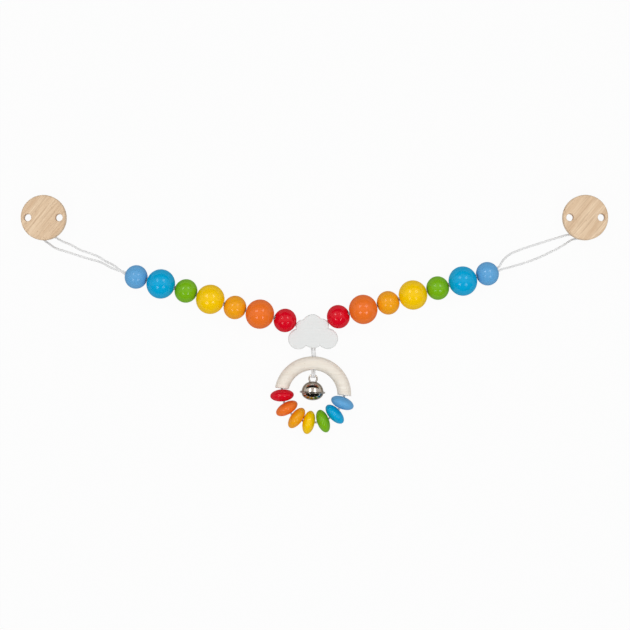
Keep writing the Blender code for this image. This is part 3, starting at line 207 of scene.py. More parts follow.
# Colours, written as in a picture editor
PAINT_COLOURS = {
    "red": (220, 6, 34),
    "orange": (244, 118, 38),
    "light_orange": (247, 166, 22),
    "yellow": (253, 205, 0),
    "green": (121, 184, 20),
    "blue": (0, 169, 220),
    "light_blue": (100, 170, 222),
}
CHAIN_COLOURS = tuple(PAINT_COLOURS)
CLOUD_COLOUR = (231, 233, 232)
PALE_BEECH = ((246, 240, 230), (236, 227, 213), (196, 170, 140))  # light, dark and flecks
NATURAL_BEECH = ((240, 215, 184), (214, 182, 148), (150, 110, 76))
# The grooves' grey is painted shade between the plaits; the ridges have the cord's own white
CORD_GROOVE_SHADE = (227, 227, 227)
CORD_RIDGE = (236, 236, 236)
CORD_FIBRE = (218, 218, 216)
NICKEL = ((184, 175, 165), 0.07, (0.001 * MM, 0.25))  # colour, roughness, relief as below
STEEL = ((196, 196, 198), 0.26, (0.004 * MM, 0.25))

# Layers of the surfaces: the scale along X, Y and Z, the noise's features to a metre, detail,
# roughness and distortion, and the noise levels between which the layer comes in
LACQUER_FIBRES = ((1, 1, 0.08), (900, 4.0, 0.6), (0.35, 0.65))
LACQUER_PATCHES = ((1, 1, 1), (140, 2.0), (0.3, 0.7))
PAINT_FIBRES = ((0.1, 1, 1), (900, 4.0, 0.6), (0.35, 0.7))
PAINT_PATCHES = ((1, 1, 1), (120, 2.0), (0.3, 0.7))
STREAKS = ((0.06, 1, 1), (340, 5.0, 0.7, 0.4), (0.36, 0.64))
FINE_FIBRES = ((0.06, 1, 1), (1400, 3.0, 0.55), (0.4, 0.75))
LINES = ((0.04, 1, 1), (720, 2.0), (0.5, 0.64))
SPOTS = ((0.3, 1, 1), (500, 2.0), (0.52, 0.6))
PLATE_PATCHES = ((1, 1, 1), (260, 3.0), (0.35, 0.7))
DASH_STRETCH = (0.22, 1, 1)
DASH_SCALE = 1100
DASH_BAND = (0.22, 0.1)
# Where the painted shade of the cord's grooves comes in
GROOVE_SHADE_BAND = (0.1, 0.7)
STREAK_ROUGH_BAND = (0.3, 0.7)
PLATE_ROUGH_BAND = (0.3, 0.75)
LACQUER_PEEL = (1500, 2.0)
PAINT_PEEL = (1300, 2.0)
PLATE_WEAR = (4000, 2.0)

# How bright a layer is, and how much of it shows
LACQUER_SHARES = (0.955, 1.03)
LACQUER_PATCH_SHARES = (0.35, 0.94)
PAINT_SHARES = (0.975, 1.01)
LINE_SHARE = 0.86
FLECK_SHARE = 0.7
PALE_CONTRAST_SHARE = 0.3
NATURAL_CONTRAST_SHARE = 0.6
CORD_FIBRE_SHARE = 0.12
PLATE_SHARES = (0.88, 1.7)  # of a dull spot's brightness and roughness
NATURAL_TURN = -50.0
FIBRES_TO_PLAIT = 9.0

# Roughness from and to, and each relief's depth and strength
LACQUER_ROUGHNESS = (0.22, 0.28)
PAINT_ROUGHNESS = (0.4, 0.52)
BEECH_ROUGHNESS = (0.62, 0.48)
FIBRE_BUMP = (0.03 * MM, 0.5)
PEEL_BUMP = (0.02 * MM, 0.3)
WOOD_BUMP = (0.05 * MM, 0.6)
FLECK_BUMP = (-0.04 * MM, 0.5)
PLAIT_BUMP = (0.06 * MM, 0.15)
CORD_FIBRE_BUMP = (0.015 * MM, 0.3)

# Studio
FLOOR_HALF = 3000 * MM
FLOOR_GAP = 0.05 * MM
WHITE = (255, 255, 255)
FLOOR_COLOUR = (195, 195, 195)
FLOOR_GLOW_SHARE = 0.955
WORLD_FILL = 0.46
SOFT_BOX_TILT = 22.0  # degrees from straight up, toward +Y
SOFT_BOX_WIDTH_SHARE = 0.8
SOFT_BOX_BAND = ((0.83, 0.01), (0.87, 1.0))
HORIZON_BAND = ((0.05, 1.0), (0.1, 0.0))
LAMP_REACH = 0.85
LAMP_HEIGHT = 1.6
LAMP_SIZE = 0.56
LAMP_POWERS = {-1: 7.1, 1: 6.1}  # the front pair and the back pair

# Fineness of round shapes
TURN_STEPS = 96
BEAD_ARCS = 40
EDGE_ARCS = 6
SHELL_ARCS = 24
EYE_ARCS = 48
WIRE_SIDES = 24
LOBE_STEP = 3.0
SMOOTH_ANGLE = 40.0
WELD_DISTANCE = 0.001 * MM
CUT_OVERRUN = 1.0 * MM

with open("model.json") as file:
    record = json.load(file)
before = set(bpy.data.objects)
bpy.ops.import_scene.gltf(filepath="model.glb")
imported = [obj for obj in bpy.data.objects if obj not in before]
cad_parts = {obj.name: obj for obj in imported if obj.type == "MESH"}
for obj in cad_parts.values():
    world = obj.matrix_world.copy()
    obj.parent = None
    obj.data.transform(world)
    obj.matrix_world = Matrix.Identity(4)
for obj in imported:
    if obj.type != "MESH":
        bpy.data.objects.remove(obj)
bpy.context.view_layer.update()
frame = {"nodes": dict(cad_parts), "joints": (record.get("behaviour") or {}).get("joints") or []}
joints = {joint["name"]: joint for joint in frame["joints"]}


# Places


def joint_place(name):
    return Vector(joints[name]["pos_m"])


def joint_axis(name):
    return Vector(joints[name]["axis"]).normalized()


def plan(angle):
    """The unit vector at a plan angle, from +X towards +Y."""
    turn = math.radians(angle)
    return Vector((math.cos(turn), math.sin(turn), 0))


def frame_along(origin, direction, side=(1, 0, 0)):
    """A frame at the origin whose Z runs along the direction and whose X is nearest to side."""
    z_axis = Vector(direction).normalized()
    x_axis = (Vector(side) - z_axis * z_axis.dot(side)).normalized()
    y_axis = z_axis.cross(x_axis)
    turn = Matrix((x_axis, y_axis, z_axis)).transposed().to_4x4()
    return Matrix.Translation(origin) @ turn


def arc_points(centre, radius, start, end, count):
    """Points on an arc, both ends included, as (x, y)."""
    turns = [math.radians(start + (end - start) * step / count) for step in range(count + 1)]
    return [(centre[0] + radius * math.cos(t), centre[1] + radius * math.sin(t)) for t in turns]


def smooth_route(points, step=ROUTE_STEP):
    """Points about a step apart on a smooth curve through the route's own points."""
    ends = [2 * points[0] - points[1], *points, 2 * points[-1] - points[-2]]
    route = []
    for before, start, end, after in zip(ends, ends[1:], ends[2:], ends[3:]):
        span = (end - start).length
        lead = (end - before) / ((start - before).length + span) * span
        trail = (after - start) / ((after - end).length + span) * span
        count = max(1, round(span / step))
        for number in range(count):
            t = number / count
            route.append(
                start * (2 * t**3 - 3 * t**2 + 1)
                + lead * (t**3 - 2 * t**2 + t)
                + end * (3 * t**2 - 2 * t**3)
                + trail * (t**3 - t**2)
            )
    return [*route, points[-1]]


# Meshes


def new_object(name, data, place=None):
    obj = bpy.data.objects.new(name, data)
    bpy.context.scene.collection.objects.link(obj)
    obj.matrix_world = place or Matrix.Identity(4)
    return obj


def new_mesh(name, points, faces):
    mesh = bpy.data.meshes.new(name)
    mesh.from_pydata(points, [], faces)
    return mesh


def tube_faces(rings, sides):
    """The faces of a closed tube, whose corners are numbered ring by ring."""
    faces = []
    for base in range(0, (rings - 1) * sides, sides):
        for step in range(sides):
            after = (step + 1) % sides
            faces.append((base + step, base + after, base + sides + after, base + sides + step))
    faces.append(tuple(reversed(range(sides))))
    faces.append(tuple(range((rings - 1) * sides, rings * sides)))
    return faces


def weld(mesh):
    """Joins corners that share a place, and turns every face outward."""
    body = bmesh.new()
    body.from_mesh(mesh)
    bmesh.ops.remove_doubles(body, verts=body.verts, dist=WELD_DISTANCE)
    bmesh.ops.recalc_face_normals(body, faces=body.faces)
    body.to_mesh(mesh)
    body.free()


def applied_mesh(obj):
    """A new mesh of the object with its modifiers applied."""
    bpy.context.view_layer.update()
    graph = bpy.context.evaluated_depsgraph_get()
    return bpy.data.meshes.new_from_object(obj.evaluated_get(graph))


def smooth_faces(mesh, angle=SMOOTH_ANGLE):
    mesh.shade_smooth()
    mesh.set_sharp_from_angle(angle=math.radians(angle))


def store_grain(mesh, places):
    """Stores each point's place in the piece's own frame, which its material reads."""
    grain = mesh.attributes.new("grain", "FLOAT_VECTOR", "POINT")
    grain.data.foreach_set("vector", np.array(places, np.float32).ravel())


def settle(obj, place, shift=(0, 0, 0)):
    """Applies the modifiers and the object's place, and stores the grain."""
    mesh = applied_mesh(obj)
    mesh.transform(obj.matrix_world)
    name = obj.name
    bpy.data.objects.remove(obj, do_unlink=True)
    smooth_faces(mesh)
    own = Matrix.Translation(shift) @ place.inverted()
    store_grain(mesh, [own @ vertex.co for vertex in mesh.vertices])
    mesh.name = name
    return new_object(name, mesh)


def lathe(name, profile, place, steps=TURN_STEPS, closed=False):
    """A profile of (radius, height) points turned round the place's Z axis."""
    points, faces, rings = [], [], []
    turns = [2 * math.pi * step / steps for step in range(steps)]
    for radius, height in profile:
        first = len(points)
        if radius == 0:
            points.append((0, 0, height))
            rings.append([first] * steps)
        else:
            points += [(radius * math.cos(t), radius * math.sin(t), height) for t in turns]
            rings.append(list(range(first, first + steps)))
    if closed:
        rings.append(rings[0])
    for upper, lower in zip(rings, rings[1:]):
        for step in range(steps):
            after = (step + 1) % steps
            face = [upper[step], lower[step], lower[after], upper[after]]
            faces.append(list(dict.fromkeys(face)))
    mesh = new_mesh(name, points, faces)
    mesh.validate()
    smooth_faces(mesh)
    return new_object(name, mesh, place)


def rod(name, start, end, radius):
    """A plain cylinder between two points, for cutting."""
    start, end = Vector(start), Vector(end)
    along = end - start
    side = min(Matrix.Identity(3), key=lambda axis: abs(axis.dot(along)))
    half = along.length / 2
    profile = [(0, half), (radius, half), (radius, -half), (0, -half)]
    return lathe(name, profile, frame_along((start + end) / 2, along, side), TURN_STEPS // 2)


def upright_rod(name, place, x, levels, radius):
    """A rod along the place's Z axis, between two levels."""
    return rod(name, *(place @ Vector((x, 0, level)) for level in levels), radius)


def box(name, centre, size, place):
    shape = Matrix.Translation(centre) @ Matrix.Diagonal((*size, 1))
    body = bmesh.new()
    bmesh.ops.create_cube(body, size=1.0, matrix=shape)
    mesh = bpy.data.meshes.new(name)
    body.to_mesh(mesh)
    body.free()
    return new_object(name, mesh, place)


def cut(obj, *cutters):
    """Cuts the object with the others, which are then removed."""
    for cutter in cutters:
        step = obj.modifiers.new(cutter.name, "BOOLEAN")
        step.operation = "DIFFERENCE"
        step.object = cutter
    mesh = applied_mesh(obj)
    obj.modifiers.clear()
    obj.data = mesh
    for cutter in cutters:
        bpy.data.objects.remove(cutter, do_unlink=True)


def soften(obj, width, segments, angle):
    """Rounds the edges that are sharper than the angle by a little."""
    obj.modifiers.new("Weld", "WELD").merge_threshold = WELD_DISTANCE
    bevel = obj.modifiers.new("Soft", "BEVEL")
    bevel.width = width
    bevel.segments = segments
    bevel.limit_method = "ANGLE"
    bevel.angle_limit = math.radians(angle)


def finish_piece(obj, material, body, slot, *nodes):
    """Gives a piece its material and its body, and hides the nodes that it stands for; the slot is
    not used.
    """
    obj.data.materials.clear()
    obj.data.materials.append(material)
    if body:
        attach(obj, body)
    if nodes:
        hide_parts(*nodes)


# Materials


def linear(level):
    """A written level, from 0 to 255, as a share of linear light."""
    share = level / 255
    return share / 12.92 if share <= 0.04045 else ((share + 0.055) / 1.055) ** 2.4


def colour(written):
    """A colour written as in a picture editor, for a shader."""
    return (*map(linear, written), 1.0)


def shaded(written, share):
    """The same colour at another brightness."""
    return (*(min(1.0, level * share) for level in written[:3]), 1.0)


class Shading:
    """A node tree under construction."""

    def __init__(self, owner):
        owner.use_nodes = True
        self.tree = owner.node_tree

    def add(self, kind, inputs=None, **settings):
        node = self.tree.nodes.new(kind)
        for name, value in settings.items():
            setattr(node, name, value)
        for name, value in (inputs or {}).items():
            self.feed(node.inputs[name], value)
        return node

    def feed(self, socket, value):
        if isinstance(value, bpy.types.NodeSocket):
            self.tree.links.new(value, socket)
        else:
            socket.default_value = value

    def place(self, source, scale=(1, 1, 1), turn=0):
        """The source turned about Z, in degrees, and scaled."""
        inputs = {"Vector": source, "Scale": scale, "Rotation": (0, 0, math.radians(turn))}
        return self.add("ShaderNodeMapping", inputs).outputs["Vector"]

    def noise(self, source, *settings):
        """Noise of a given scale and detail, and of a roughness and distortion if given."""
        names = ("Scale", "Detail", "Roughness", "Distortion")
        inputs = {"Vector": source, **dict(zip(names, settings))}
        return self.add("ShaderNodeTexNoise", inputs).outputs["Fac"]

    def ramp(self, source, stops):
        """A grey band over the source between two stops, each a place and a level."""
        node = self.add("ShaderNodeValToRGB", {"Fac": source})
        for element, (place, level) in zip(node.color_ramp.elements, stops):
            element.position = place
            element.color = (level, level, level, 1.0)
        return node.outputs["Color"]

    def spread(self, source, low, high, to_low=0.0, to_high=1.0):
        """The source's range from low to high mapped to another range."""
        names = ("Value", "From Min", "From Max", "To Min", "To Max")
        inputs = dict(zip(names, (source, low, high, to_low, to_high)))
        return self.add("ShaderNodeMapRange", inputs).outputs["Result"]

    def mix(self, share, first, second):
        node = self.add("ShaderNodeMix", {"Factor": share}, data_type="RGBA")
        colours = [socket for socket in node.inputs if socket.type == "RGBA"]
        for socket, value in zip(colours, (first, second)):
            self.feed(socket, value)
        return next(socket for socket in node.outputs if socket.type == "RGBA")

    def maths(self, operation, *values):
        node = self.add("ShaderNodeMath", operation=operation)
        for socket, value in zip(node.inputs, values):
            self.feed(socket, value)
        return node.outputs["Value"]

    def parts(self, source):
        return self.add("ShaderNodeSeparateXYZ", {"Vector": source}).outputs

    def mix_shaders(self, share, *shaders):
        node = self.add("ShaderNodeMixShader", {"Fac": share})
        for socket, shader in zip(node.inputs[1:], shaders):
            self.feed(socket, shader.outputs[0])
        return node.outputs["Shader"]

    def seen_directly(self):
        """1 for camera, glossy and transmission rays, and otherwise 0."""
        rays = self.add("ShaderNodeLightPath").outputs
        seen = self.maths("MAXIMUM", rays["Is Camera Ray"], rays["Is Glossy Ray"])
        return self.maths("MAXIMUM", seen, rays["Is Transmission Ray"])


class Finish(Shading):
    """A material under construction, round one Principled shader."""

    def __init__(self, name, **sockets):
        self.material = bpy.data.materials.new(name)
        super().__init__(self.material)
        self.shader = self.tree.nodes["Principled BSDF"]
        for socket, value in sockets.items():
            self.shader.inputs[socket.replace("_", " ")].default_value = value

    def set(self, name, value):
        self.feed(self.shader.inputs[name], value)

    def grain(self):
        node = self.add("ShaderNodeAttribute", attribute_name="grain")
        return node.outputs["Vector"]

    def layer(self, source, scale, noise, band, most=1.0):
        """Scaled noise, as it is and as a share of up to the most."""
        raw = self.noise(self.place(source, scale), *noise)
        return raw, self.spread(raw, *band, 0, most)

    def bump(self, height, distance, strength, normal=None):
        inputs = {"Height": height, "Distance": distance, "Strength": strength}
        node = self.add("ShaderNodeBump", inputs)
        if normal:
            self.feed(node.inputs["Normal"], normal)
        self.feed(self.shader.inputs["Normal"], node.outputs["Normal"])
        return node.outputs["Normal"]


def fibred_tone(finish, written, layer, shares):
    """The wood's fibres, and the paint's colour with a trace of them."""
    fibres, depth = finish.layer(finish.grain(), *layer)
    return fibres, finish.mix(depth, *(shaded(written, share) for share in shares))


def paint_relief(finish, fibres, peel):
    """The fibres and the paint's orange peel as relief."""
    height = finish.noise(finish.grain(), *peel)
    return finish.bump(height, *PEEL_BUMP, finish.bump(fibres, *FIBRE_BUMP))


def lacquer(name, written):
    """Gloss paint on turned wood: a trace of the grain, brush variation and orange peel."""
    finish = Finish(
        f"lacquer_{name}",
        Roughness=0.24,
        Coat_Weight=0.13,
        Coat_Roughness=0.15,
        Coat_IOR=2.2,
        Specular_IOR_Level=0.0,
    )
    fibres, tone = fibred_tone(finish, written, LACQUER_FIBRES, LACQUER_SHARES)
    most, brightness = LACQUER_PATCH_SHARES
    patches = finish.layer(finish.grain(), *LACQUER_PATCHES, most)[1]
    finish.set("Base Color", finish.mix(patches, tone, shaded(written, brightness)))
    finish.set("Roughness", finish.spread(patches, 0, most, *LACQUER_ROUGHNESS))
    finish.set("Coat Normal", paint_relief(finish, fibres, LACQUER_PEEL))
    return finish.material


def white_paint():
    """Satin white lacquer on a sawn board."""
    finish = Finish("white_paint", Roughness=0.45, Specular_IOR_Level=0.35)
    written = colour(CLOUD_COLOUR)
    fibres, tone = fibred_tone(finish, written, PAINT_FIBRES, PAINT_SHARES)
    patches = finish.layer(finish.grain(), *PAINT_PATCHES)[1]
    finish.set("Base Color", tone)
    finish.set("Roughness", finish.spread(patches, 0, 1, *PAINT_ROUGHNESS))
    paint_relief(finish, fibres, PAINT_PEEL)
    return finish.material


def beech(name, colours, contrast, turn=0):
    """Plain beech: long soft streaks and short dark flecks along the grain."""
    light, dark, fleck = (colour(written) for written in colours)
    finish = Finish(name, Roughness=0.55, Specular_IOR_Level=0.15)
    grain = finish.place(finish.grain(), turn=turn)
    streaks, streaked = finish.layer(grain, *STREAKS)
    fibres, fine = finish.layer(grain, *FINE_FIBRES, contrast)
    lines = finish.layer(grain, *LINES, contrast)[1]
    spots = finish.layer(grain, *SPOTS)[1]
    inputs = {"Vector": finish.place(grain, DASH_STRETCH), "Scale": DASH_SCALE}
    dashes = finish.add("ShaderNodeTexVoronoi", inputs).outputs["Distance"]
    flecks = finish.maths("MULTIPLY", finish.spread(dashes, *DASH_BAND), spots)
    tone = finish.mix(streaked, dark, light)
    tone = finish.mix(fine, tone, dark)
    tone = finish.mix(lines, tone, shaded(dark, LINE_SHARE))
    tone = finish.mix(finish.maths("MULTIPLY", flecks, FLECK_SHARE), tone, fleck)
    finish.set("Base Color", tone)
    finish.set("Roughness", finish.spread(streaks, *STREAK_ROUGH_BAND, *BEECH_ROUGHNESS))
    finish.bump(flecks, *FLECK_BUMP, finish.bump(fibres, *WOOD_BUMP))
    return finish.material


def braid_paint():
    """White braided cord, with fibres along each plait and painted shade in the grooves."""
    finish = Finish("braided_cord", Roughness=0.85, Sheen_Weight=0.25, Specular_IOR_Level=0.2)
    x, y, z = finish.parts(finish.grain())
    angle = finish.maths("MULTIPLY", finish.maths("ARCTAN2", y, x), BRAID_PLAITS / 2)
    travel = finish.maths("MULTIPLY", z, math.pi / BRAID_PITCH)
    lays = [finish.maths(operation, angle, travel) for operation in ("ADD", "SUBTRACT")]
    weave = finish.maths("MULTIPLY", *(finish.maths("COSINE", lay) for lay in lays))
    cell = finish.maths("SQRT", finish.maths("ABSOLUTE", weave))
    turns = [finish.maths("MULTIPLY", lay, FIBRES_TO_PLAIT) for lay in lays]
    first, second = (finish.maths("SINE", turn) for turn in turns)
    over = finish.maths("GREATER_THAN", weave, 0.0)
    inputs = {"Factor": over, "A": first, "B": second}
    fibres = finish.add("ShaderNodeMix", inputs, data_type="FLOAT").outputs["Result"]
    # Painted shade: the grooves between the plaits are drawn grey, darker than the ridges
    ridges = finish.spread(cell, *GROOVE_SHADE_BAND)
    tone = finish.mix(ridges, colour(CORD_GROOVE_SHADE), colour(CORD_RIDGE))
    shown = finish.spread(fibres, -1.0, 1.0, CORD_FIBRE_SHARE, 0.0)
    finish.set("Base Color", finish.mix(shown, tone, colour(CORD_FIBRE)))
    finish.bump(fibres, *CORD_FIBRE_BUMP, finish.bump(cell, *PLAIT_BUMP))
    return finish.material


def plated(name, written, rough, relief):
    """Plated metal: fine random wear, and dull spots."""
    finish = Finish(name, Metallic=1.0, Roughness=rough, Specular_Tint=(0.35, 0.33, 0.31, 1.0))
    coords = finish.add("ShaderNodeTexCoord").outputs["Object"]
    patches, dull = finish.layer(coords, *PLATE_PATCHES)
    brightness, coarseness = PLATE_SHARES
    clean = colour(written)
    finish.set("Base Color", finish.mix(dull, clean, shaded(clean, brightness)))
    roughness = finish.spread(patches, *PLATE_ROUGH_BAND, rough, rough * coarseness)
    finish.set("Roughness", roughness)
    finish.bump(finish.noise(coords, *PLATE_WEAR), *relief)
    return finish.material


# Cords


def route_frames(points):
    """A frame for each point, turned as little as possible from the one before."""
    ahead = [(b - a).normalized() for a, b in zip(points, points[1:])]
    tangents = [ahead[0]]
    tangents += [(a + b).normalized() for a, b in zip(ahead, ahead[1:])]
    tangents.append(ahead[-1])
    upright = abs(tangents[0].dot(UP)) > UPRIGHT_SHARE
    up = Vector((0, 1, 0)) if upright else UP
    side = (up - tangents[0] * tangents[0].dot(up)).normalized()
    frames = []
    for tangent in tangents:
        side = (side - tangent * tangent.dot(side)).normalized()
        frames.append((tangent, side, tangent.cross(side)))
    return frames


def even_route(points, step=ROUTE_STEP):
    """The route's points about one step apart along its length."""
    lengths = [0.0]
    for a, b in zip(points, points[1:]):
        lengths.append(lengths[-1] + (b - a).length)
    count = max(2, round(lengths[-1] / step))
    wanted = np.linspace(0, lengths[-1], count + 1)
    columns = [np.interp(wanted, lengths, [point[axis] for point in points]) for axis in range(3)]
    return [Vector(row) for row in zip(*columns)]


def braid_points(points, phase):
    """The corners and grain places of one braided strand along the points."""
    corners, grains = [], []
    travelled = 0.0
    shift = phase * BRAID_PITCH / math.pi
    for number, (point, (_, side, other)) in enumerate(zip(points, route_frames(points))):
        if number:
            travelled += (point - points[number - 1]).length
        lay = math.pi * travelled / BRAID_PITCH + phase
        for step in range(BRAID_SIDES):
            turn = 2 * math.pi * step / BRAID_SIDES
            angle = turn * BRAID_PLAITS / 2
            cell = math.sqrt(abs(math.cos(angle + lay) * math.cos(angle - lay)))
            reach = CORD_RADIUS * (1 - BRAID_DEPTH_SHARE * (1 - cell))
            across = (math.cos(turn), math.sin(turn))
            corners.append(point + (side * across[0] + other * across[1]) * reach)
            grains.append((*(reach * value for value in across), travelled + shift))
    return corners, grains


def braided(name, strands):
    """One mesh of braided strands, each given by its route."""
    corners, grains, faces = [], [], []
    for number, strand in enumerate(strands):
        points = even_route(strand, BRAID_STEP)
        more = tube_faces(len(points), BRAID_SIDES)
        faces += [tuple(index + len(corners) for index in face) for face in more]
        more_corners, more_grains = braid_points(points, number * math.pi / 2)
        corners += more_corners
        grains += more_grains
    mesh = new_mesh(name, corners, faces)
    store_grain(mesh, grains)
    smooth_faces(mesh, BRAID_SMOOTH_ANGLE)
    return new_object(name, mesh)


def side_by_side(points, across=None):
    """Two strands along the points, level with each other or apart along a given vector."""
    sideways = [across or frame[0].cross(UP).normalized() for frame in route_frames(points)]
    return [
        [point + aside * STRAND_OFFSET * sign for point, aside in zip(points, sideways)]
        for sign in (-1, 1)
    ]


def build_bend(name, strands, paint, bodies, at, along, *nodes):
    """A stretch of cord along the given strands, fixed in place in the model's frame."""
    piece = braided(name, strands)
    finish_piece(piece, paint, None, "cord", *nodes)
    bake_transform(piece)


def clip_middle(side):
    place = joint_place(f"{side}_clip_swivel")
    return Vector((place.x, place.y + CLIP_BAR_BACK, 0))


def build_loop(side, route, paint):
    """The free loop: out of the last bead, round the clip's bar and back."""
    mouth = joint_place(f"{side}_loop_swing")
    bore = joint_axis(f"{side}_bead_light_blue_spin")
    outward = Vector((bore.x, bore.y, 0)).normalized()
    if outward.x * (-1 if side == "left" else 1) < 0:
        outward = -outward
    sideways = Vector((-outward.y, outward.x, 0)) * (CORD_RADIUS + CORD_GAP / 2)
    middle = mouth - outward * LOOP_SEAT
    centre = clip_middle(side)
    points = [middle + sideways, *(Vector(point) + centre for point in route), middle - sideways]
    path = smooth_route(points)
    piece = braided(f"{side}_loop_cord", [path])
    finish_piece(piece, paint, f"{side}_loop_body", "cord", f"{side}_loop")


def crossing():
    """Where the drop cord is hitched to the cord inside the cloud."""
    left, right = (joint_place(f"{side}_bend_red") for side in SIDES)
    bottom = joint_place("drop_swing")
    along = (bottom.x - left.x) / (right.x - left.x)
    return left.lerp(right, along)


def build_chain_cords(side, paint):
    """The doubled cord from the cloud to the last bead, in stretches that curve through the bend
    joints' places.
    """
    names = [f"{side}_bead_{name}_spin" for name in CHAIN_COLOURS]
    middles = [crossing(), *(joint_place(name) for name in names)]
    for middle in middles[1:]:
        middle.z = joint_place(f"{side}_loop_swing").z
    bodies = ["cloud_body", *(f"{side}_link_{name}" for name in CHAIN_COLOURS)]
    for number, name in enumerate(CHAIN_COLOURS):
        bend = joint_place(f"{side}_bend_{name}")
        before, after = middles[number], middles[number + 1]
        strands = side_by_side(even_route(smooth_route([before, bend, after])))
        pair = bodies[number : number + 2]
        stretch = f"{side}_chain_cord_{name}"
        node = f"{side}_cord_{name}"
        build_bend(stretch, strands, paint, pair, bend, after - before, node)
    mouth = joint_place(f"{side}_loop_swing")
    inward = (middles[-1] - mouth).normalized()
    path = even_route([middles[-1], mouth + inward * LOOP_SEAT])
    piece = braided(f"{side}_chain_cord_end", side_by_side(path))
    finish_piece(piece, paint, bodies[-1], "cord")


# Camera


def build_camera():
    lens = bpy.data.cameras.new("camera")
    lens.sensor_width = CAMERA_SENSOR
    lens.lens = CAMERA_LENS
    lens.clip_start = CAMERA_NEAR
    lens.clip_end = CAMERA_FAR
    camera = new_object("camera", lens, Matrix.Translation(CAMERA_PLACE))
    bpy.context.scene.camera = camera


# Beads


def bored_round(name, radius, half_length, bore, place):
    """A bead turned about its bore, with rounded mouths."""
    mouth = math.degrees(math.asin((bore + BORE_EDGE) / radius))
    rim = [
        (x, y * half_length / radius)
        for x, y in arc_points((0, 0), radius, 90 - mouth, mouth - 90, BEAD_ARCS)
    ]
    level = rim[0][1]
    edge = arc_points((bore + BORE_EDGE, level - BORE_EDGE), BORE_EDGE, 180, 90, EDGE_ARCS)
    under = [(x, -y) for x, y in reversed(edge)]
    profile = [*edge[:-1], *rim, *under[1:]]
    return lathe(name, profile, place, closed=True)


def build_bead(node, name, size, shift, paints):
    """A bead on its own joint. Its size is its radius, half length and bore."""
    place = frame_along(joint_place(f"{node}_spin"), joint_axis(f"{node}_spin"), UP)
    bead = settle(bored_round(f"{node}_turned", *size, place), place, shift)
    finish_piece(bead, paints[name], node, name, node)


def build_beads(paints):
    """The round beads of both arms, small and large in turn, and the lens beads."""
    for side in SIDES:
        for number, name in enumerate(CHAIN_COLOURS):
            large = number % 2
            radius = LARGE_BEAD_RADIUS if large else SMALL_BEAD_RADIUS
            bore = LARGE_BORE_RADIUS if large else SMALL_BORE_RADIUS
            size = (radius, radius - BEAD_SHORTFALL, bore)
            build_bead(f"{side}_bead_{name}", name, size, (number * radius, 0, radius), paints)
    size = (LENS_RADIUS, LENS_THICKNESS / 2, LENS_BORE_RADIUS)
    for number, name in enumerate(CHAIN_COLOURS):
        build_bead(f"lens_{name}", name, size, (0, number * LENS_RADIUS, 0), paints)


# Cloud


def lobe_meeting(first, second):
    """The outer point where two neighbouring lobes cross."""
    (x1, y1, r1), (x2, y2, r2) = first, second
    between = Vector((x2 - x1, y2 - y1))
    apart = between.length
    along = (apart**2 + r1**2 - r2**2) / (2 * apart)
    across = math.sqrt(r1**2 - along**2)
    between.normalize()
    outward = Vector((-between.y, between.x))
    return Vector((x1, y1)) + between * along + outward * across


def plan_angle(vector):
    return math.degrees(math.atan2(vector.y, vector.x))


def cloud_outline():
    """The lobes' arcs from crossing to crossing, clockwise from the top lobe."""
    outline = []
    befores = [CLOUD_LOBES[-1], *CLOUD_LOBES]
    afters = [*CLOUD_LOBES[1:], CLOUD_LOBES[0]]
    for before, lobe, after in zip(befores, CLOUD_LOBES, afters):
        middle = Vector(lobe[:2])
        start = plan_angle(lobe_meeting(before, lobe) - middle)
        end = plan_angle(lobe_meeting(lobe, after) - middle)
        sweep = (end - start) % -360
        count = round(-sweep / LOBE_STEP)
        outline += arc_points(middle, lobe[2], start, start + sweep, count)[:-1]
    return outline


def flat_board(name, outline, thickness, edge_round, place):
    """A board in the place's XY plane, centred on it, with rounded edges."""
    curve = bpy.data.curves.new(name, "CURVE")
    curve.dimensions = "2D"
    curve.fill_mode = "BOTH"
    curve.extrude = thickness / 2 - edge_round
    curve.bevel_depth = edge_round
    curve.bevel_resolution = EDGE_ARCS
    curve.offset = -edge_round
    spline = curve.splines.new("POLY")
    spline.points.add(len(outline) - 1)
    for target, (x, y) in zip(spline.points, outline):
        target.co = (x, y, 0, 1)
    spline.use_cyclic_u = True
    shape = new_object(name, curve, place)
    mesh = applied_mesh(shape)
    bpy.data.objects.remove(shape, do_unlink=True)
    weld(mesh)
    return new_object(name, mesh, place)


def build_cloud(paint):
    place = Matrix.Translation((0, 0, CLOUD_THICKNESS / 2))
    board = flat_board("cloud_board", cloud_outline(), CLOUD_THICKNESS, CLOUD_EDGE_ROUND, place)
    left, right = (joint_place(f"{side}_bend_red") for side in SIDES)
    bottom = joint_place("drop_swing")
    middle = crossing()
    for point in (left, right, bottom, middle):
        point.z = CLOUD_THICKNESS / 2
    along = (right - left).normalized() * CUT_OVERRUN
    cut(
        board,
        rod("cloud_bore", left - along, right + along, CLOUD_BORE_RADIUS),
        rod("drop_bore", middle, bottom - Vector((0, CUT_OVERRUN, 0)), DROP_BORE_RADIUS),
    )
    finish_piece(settle(board, place), paint, "cloud_body", "white", "cloud")


# Half ring


def ring_frame():
    """The frame of the ring's plane, with its origin at the outer mouth of the cord's hole."""
    turn = Matrix.Rotation(-math.radians(RING_TILT), 4, "X")
    return Matrix.Translation(joint_place("ring_swing")) @ turn


def ring_centre():
    return -plan(RING_AXIS + RING_HOLE_TURN) * (RING_MID_RADIUS + RING_TUBE_RADIUS)


def ring_end(sign):
    """The middle of a sawn end in the ring's plane. The sign is -1 on the left."""
    across = math.sqrt(RING_MID_RADIUS**2 - RING_SAW_OFFSET**2)
    return ring_centre() + plan(RING_AXIS) * RING_SAW_OFFSET + plan(RING_AXIS - 90) * across * sign


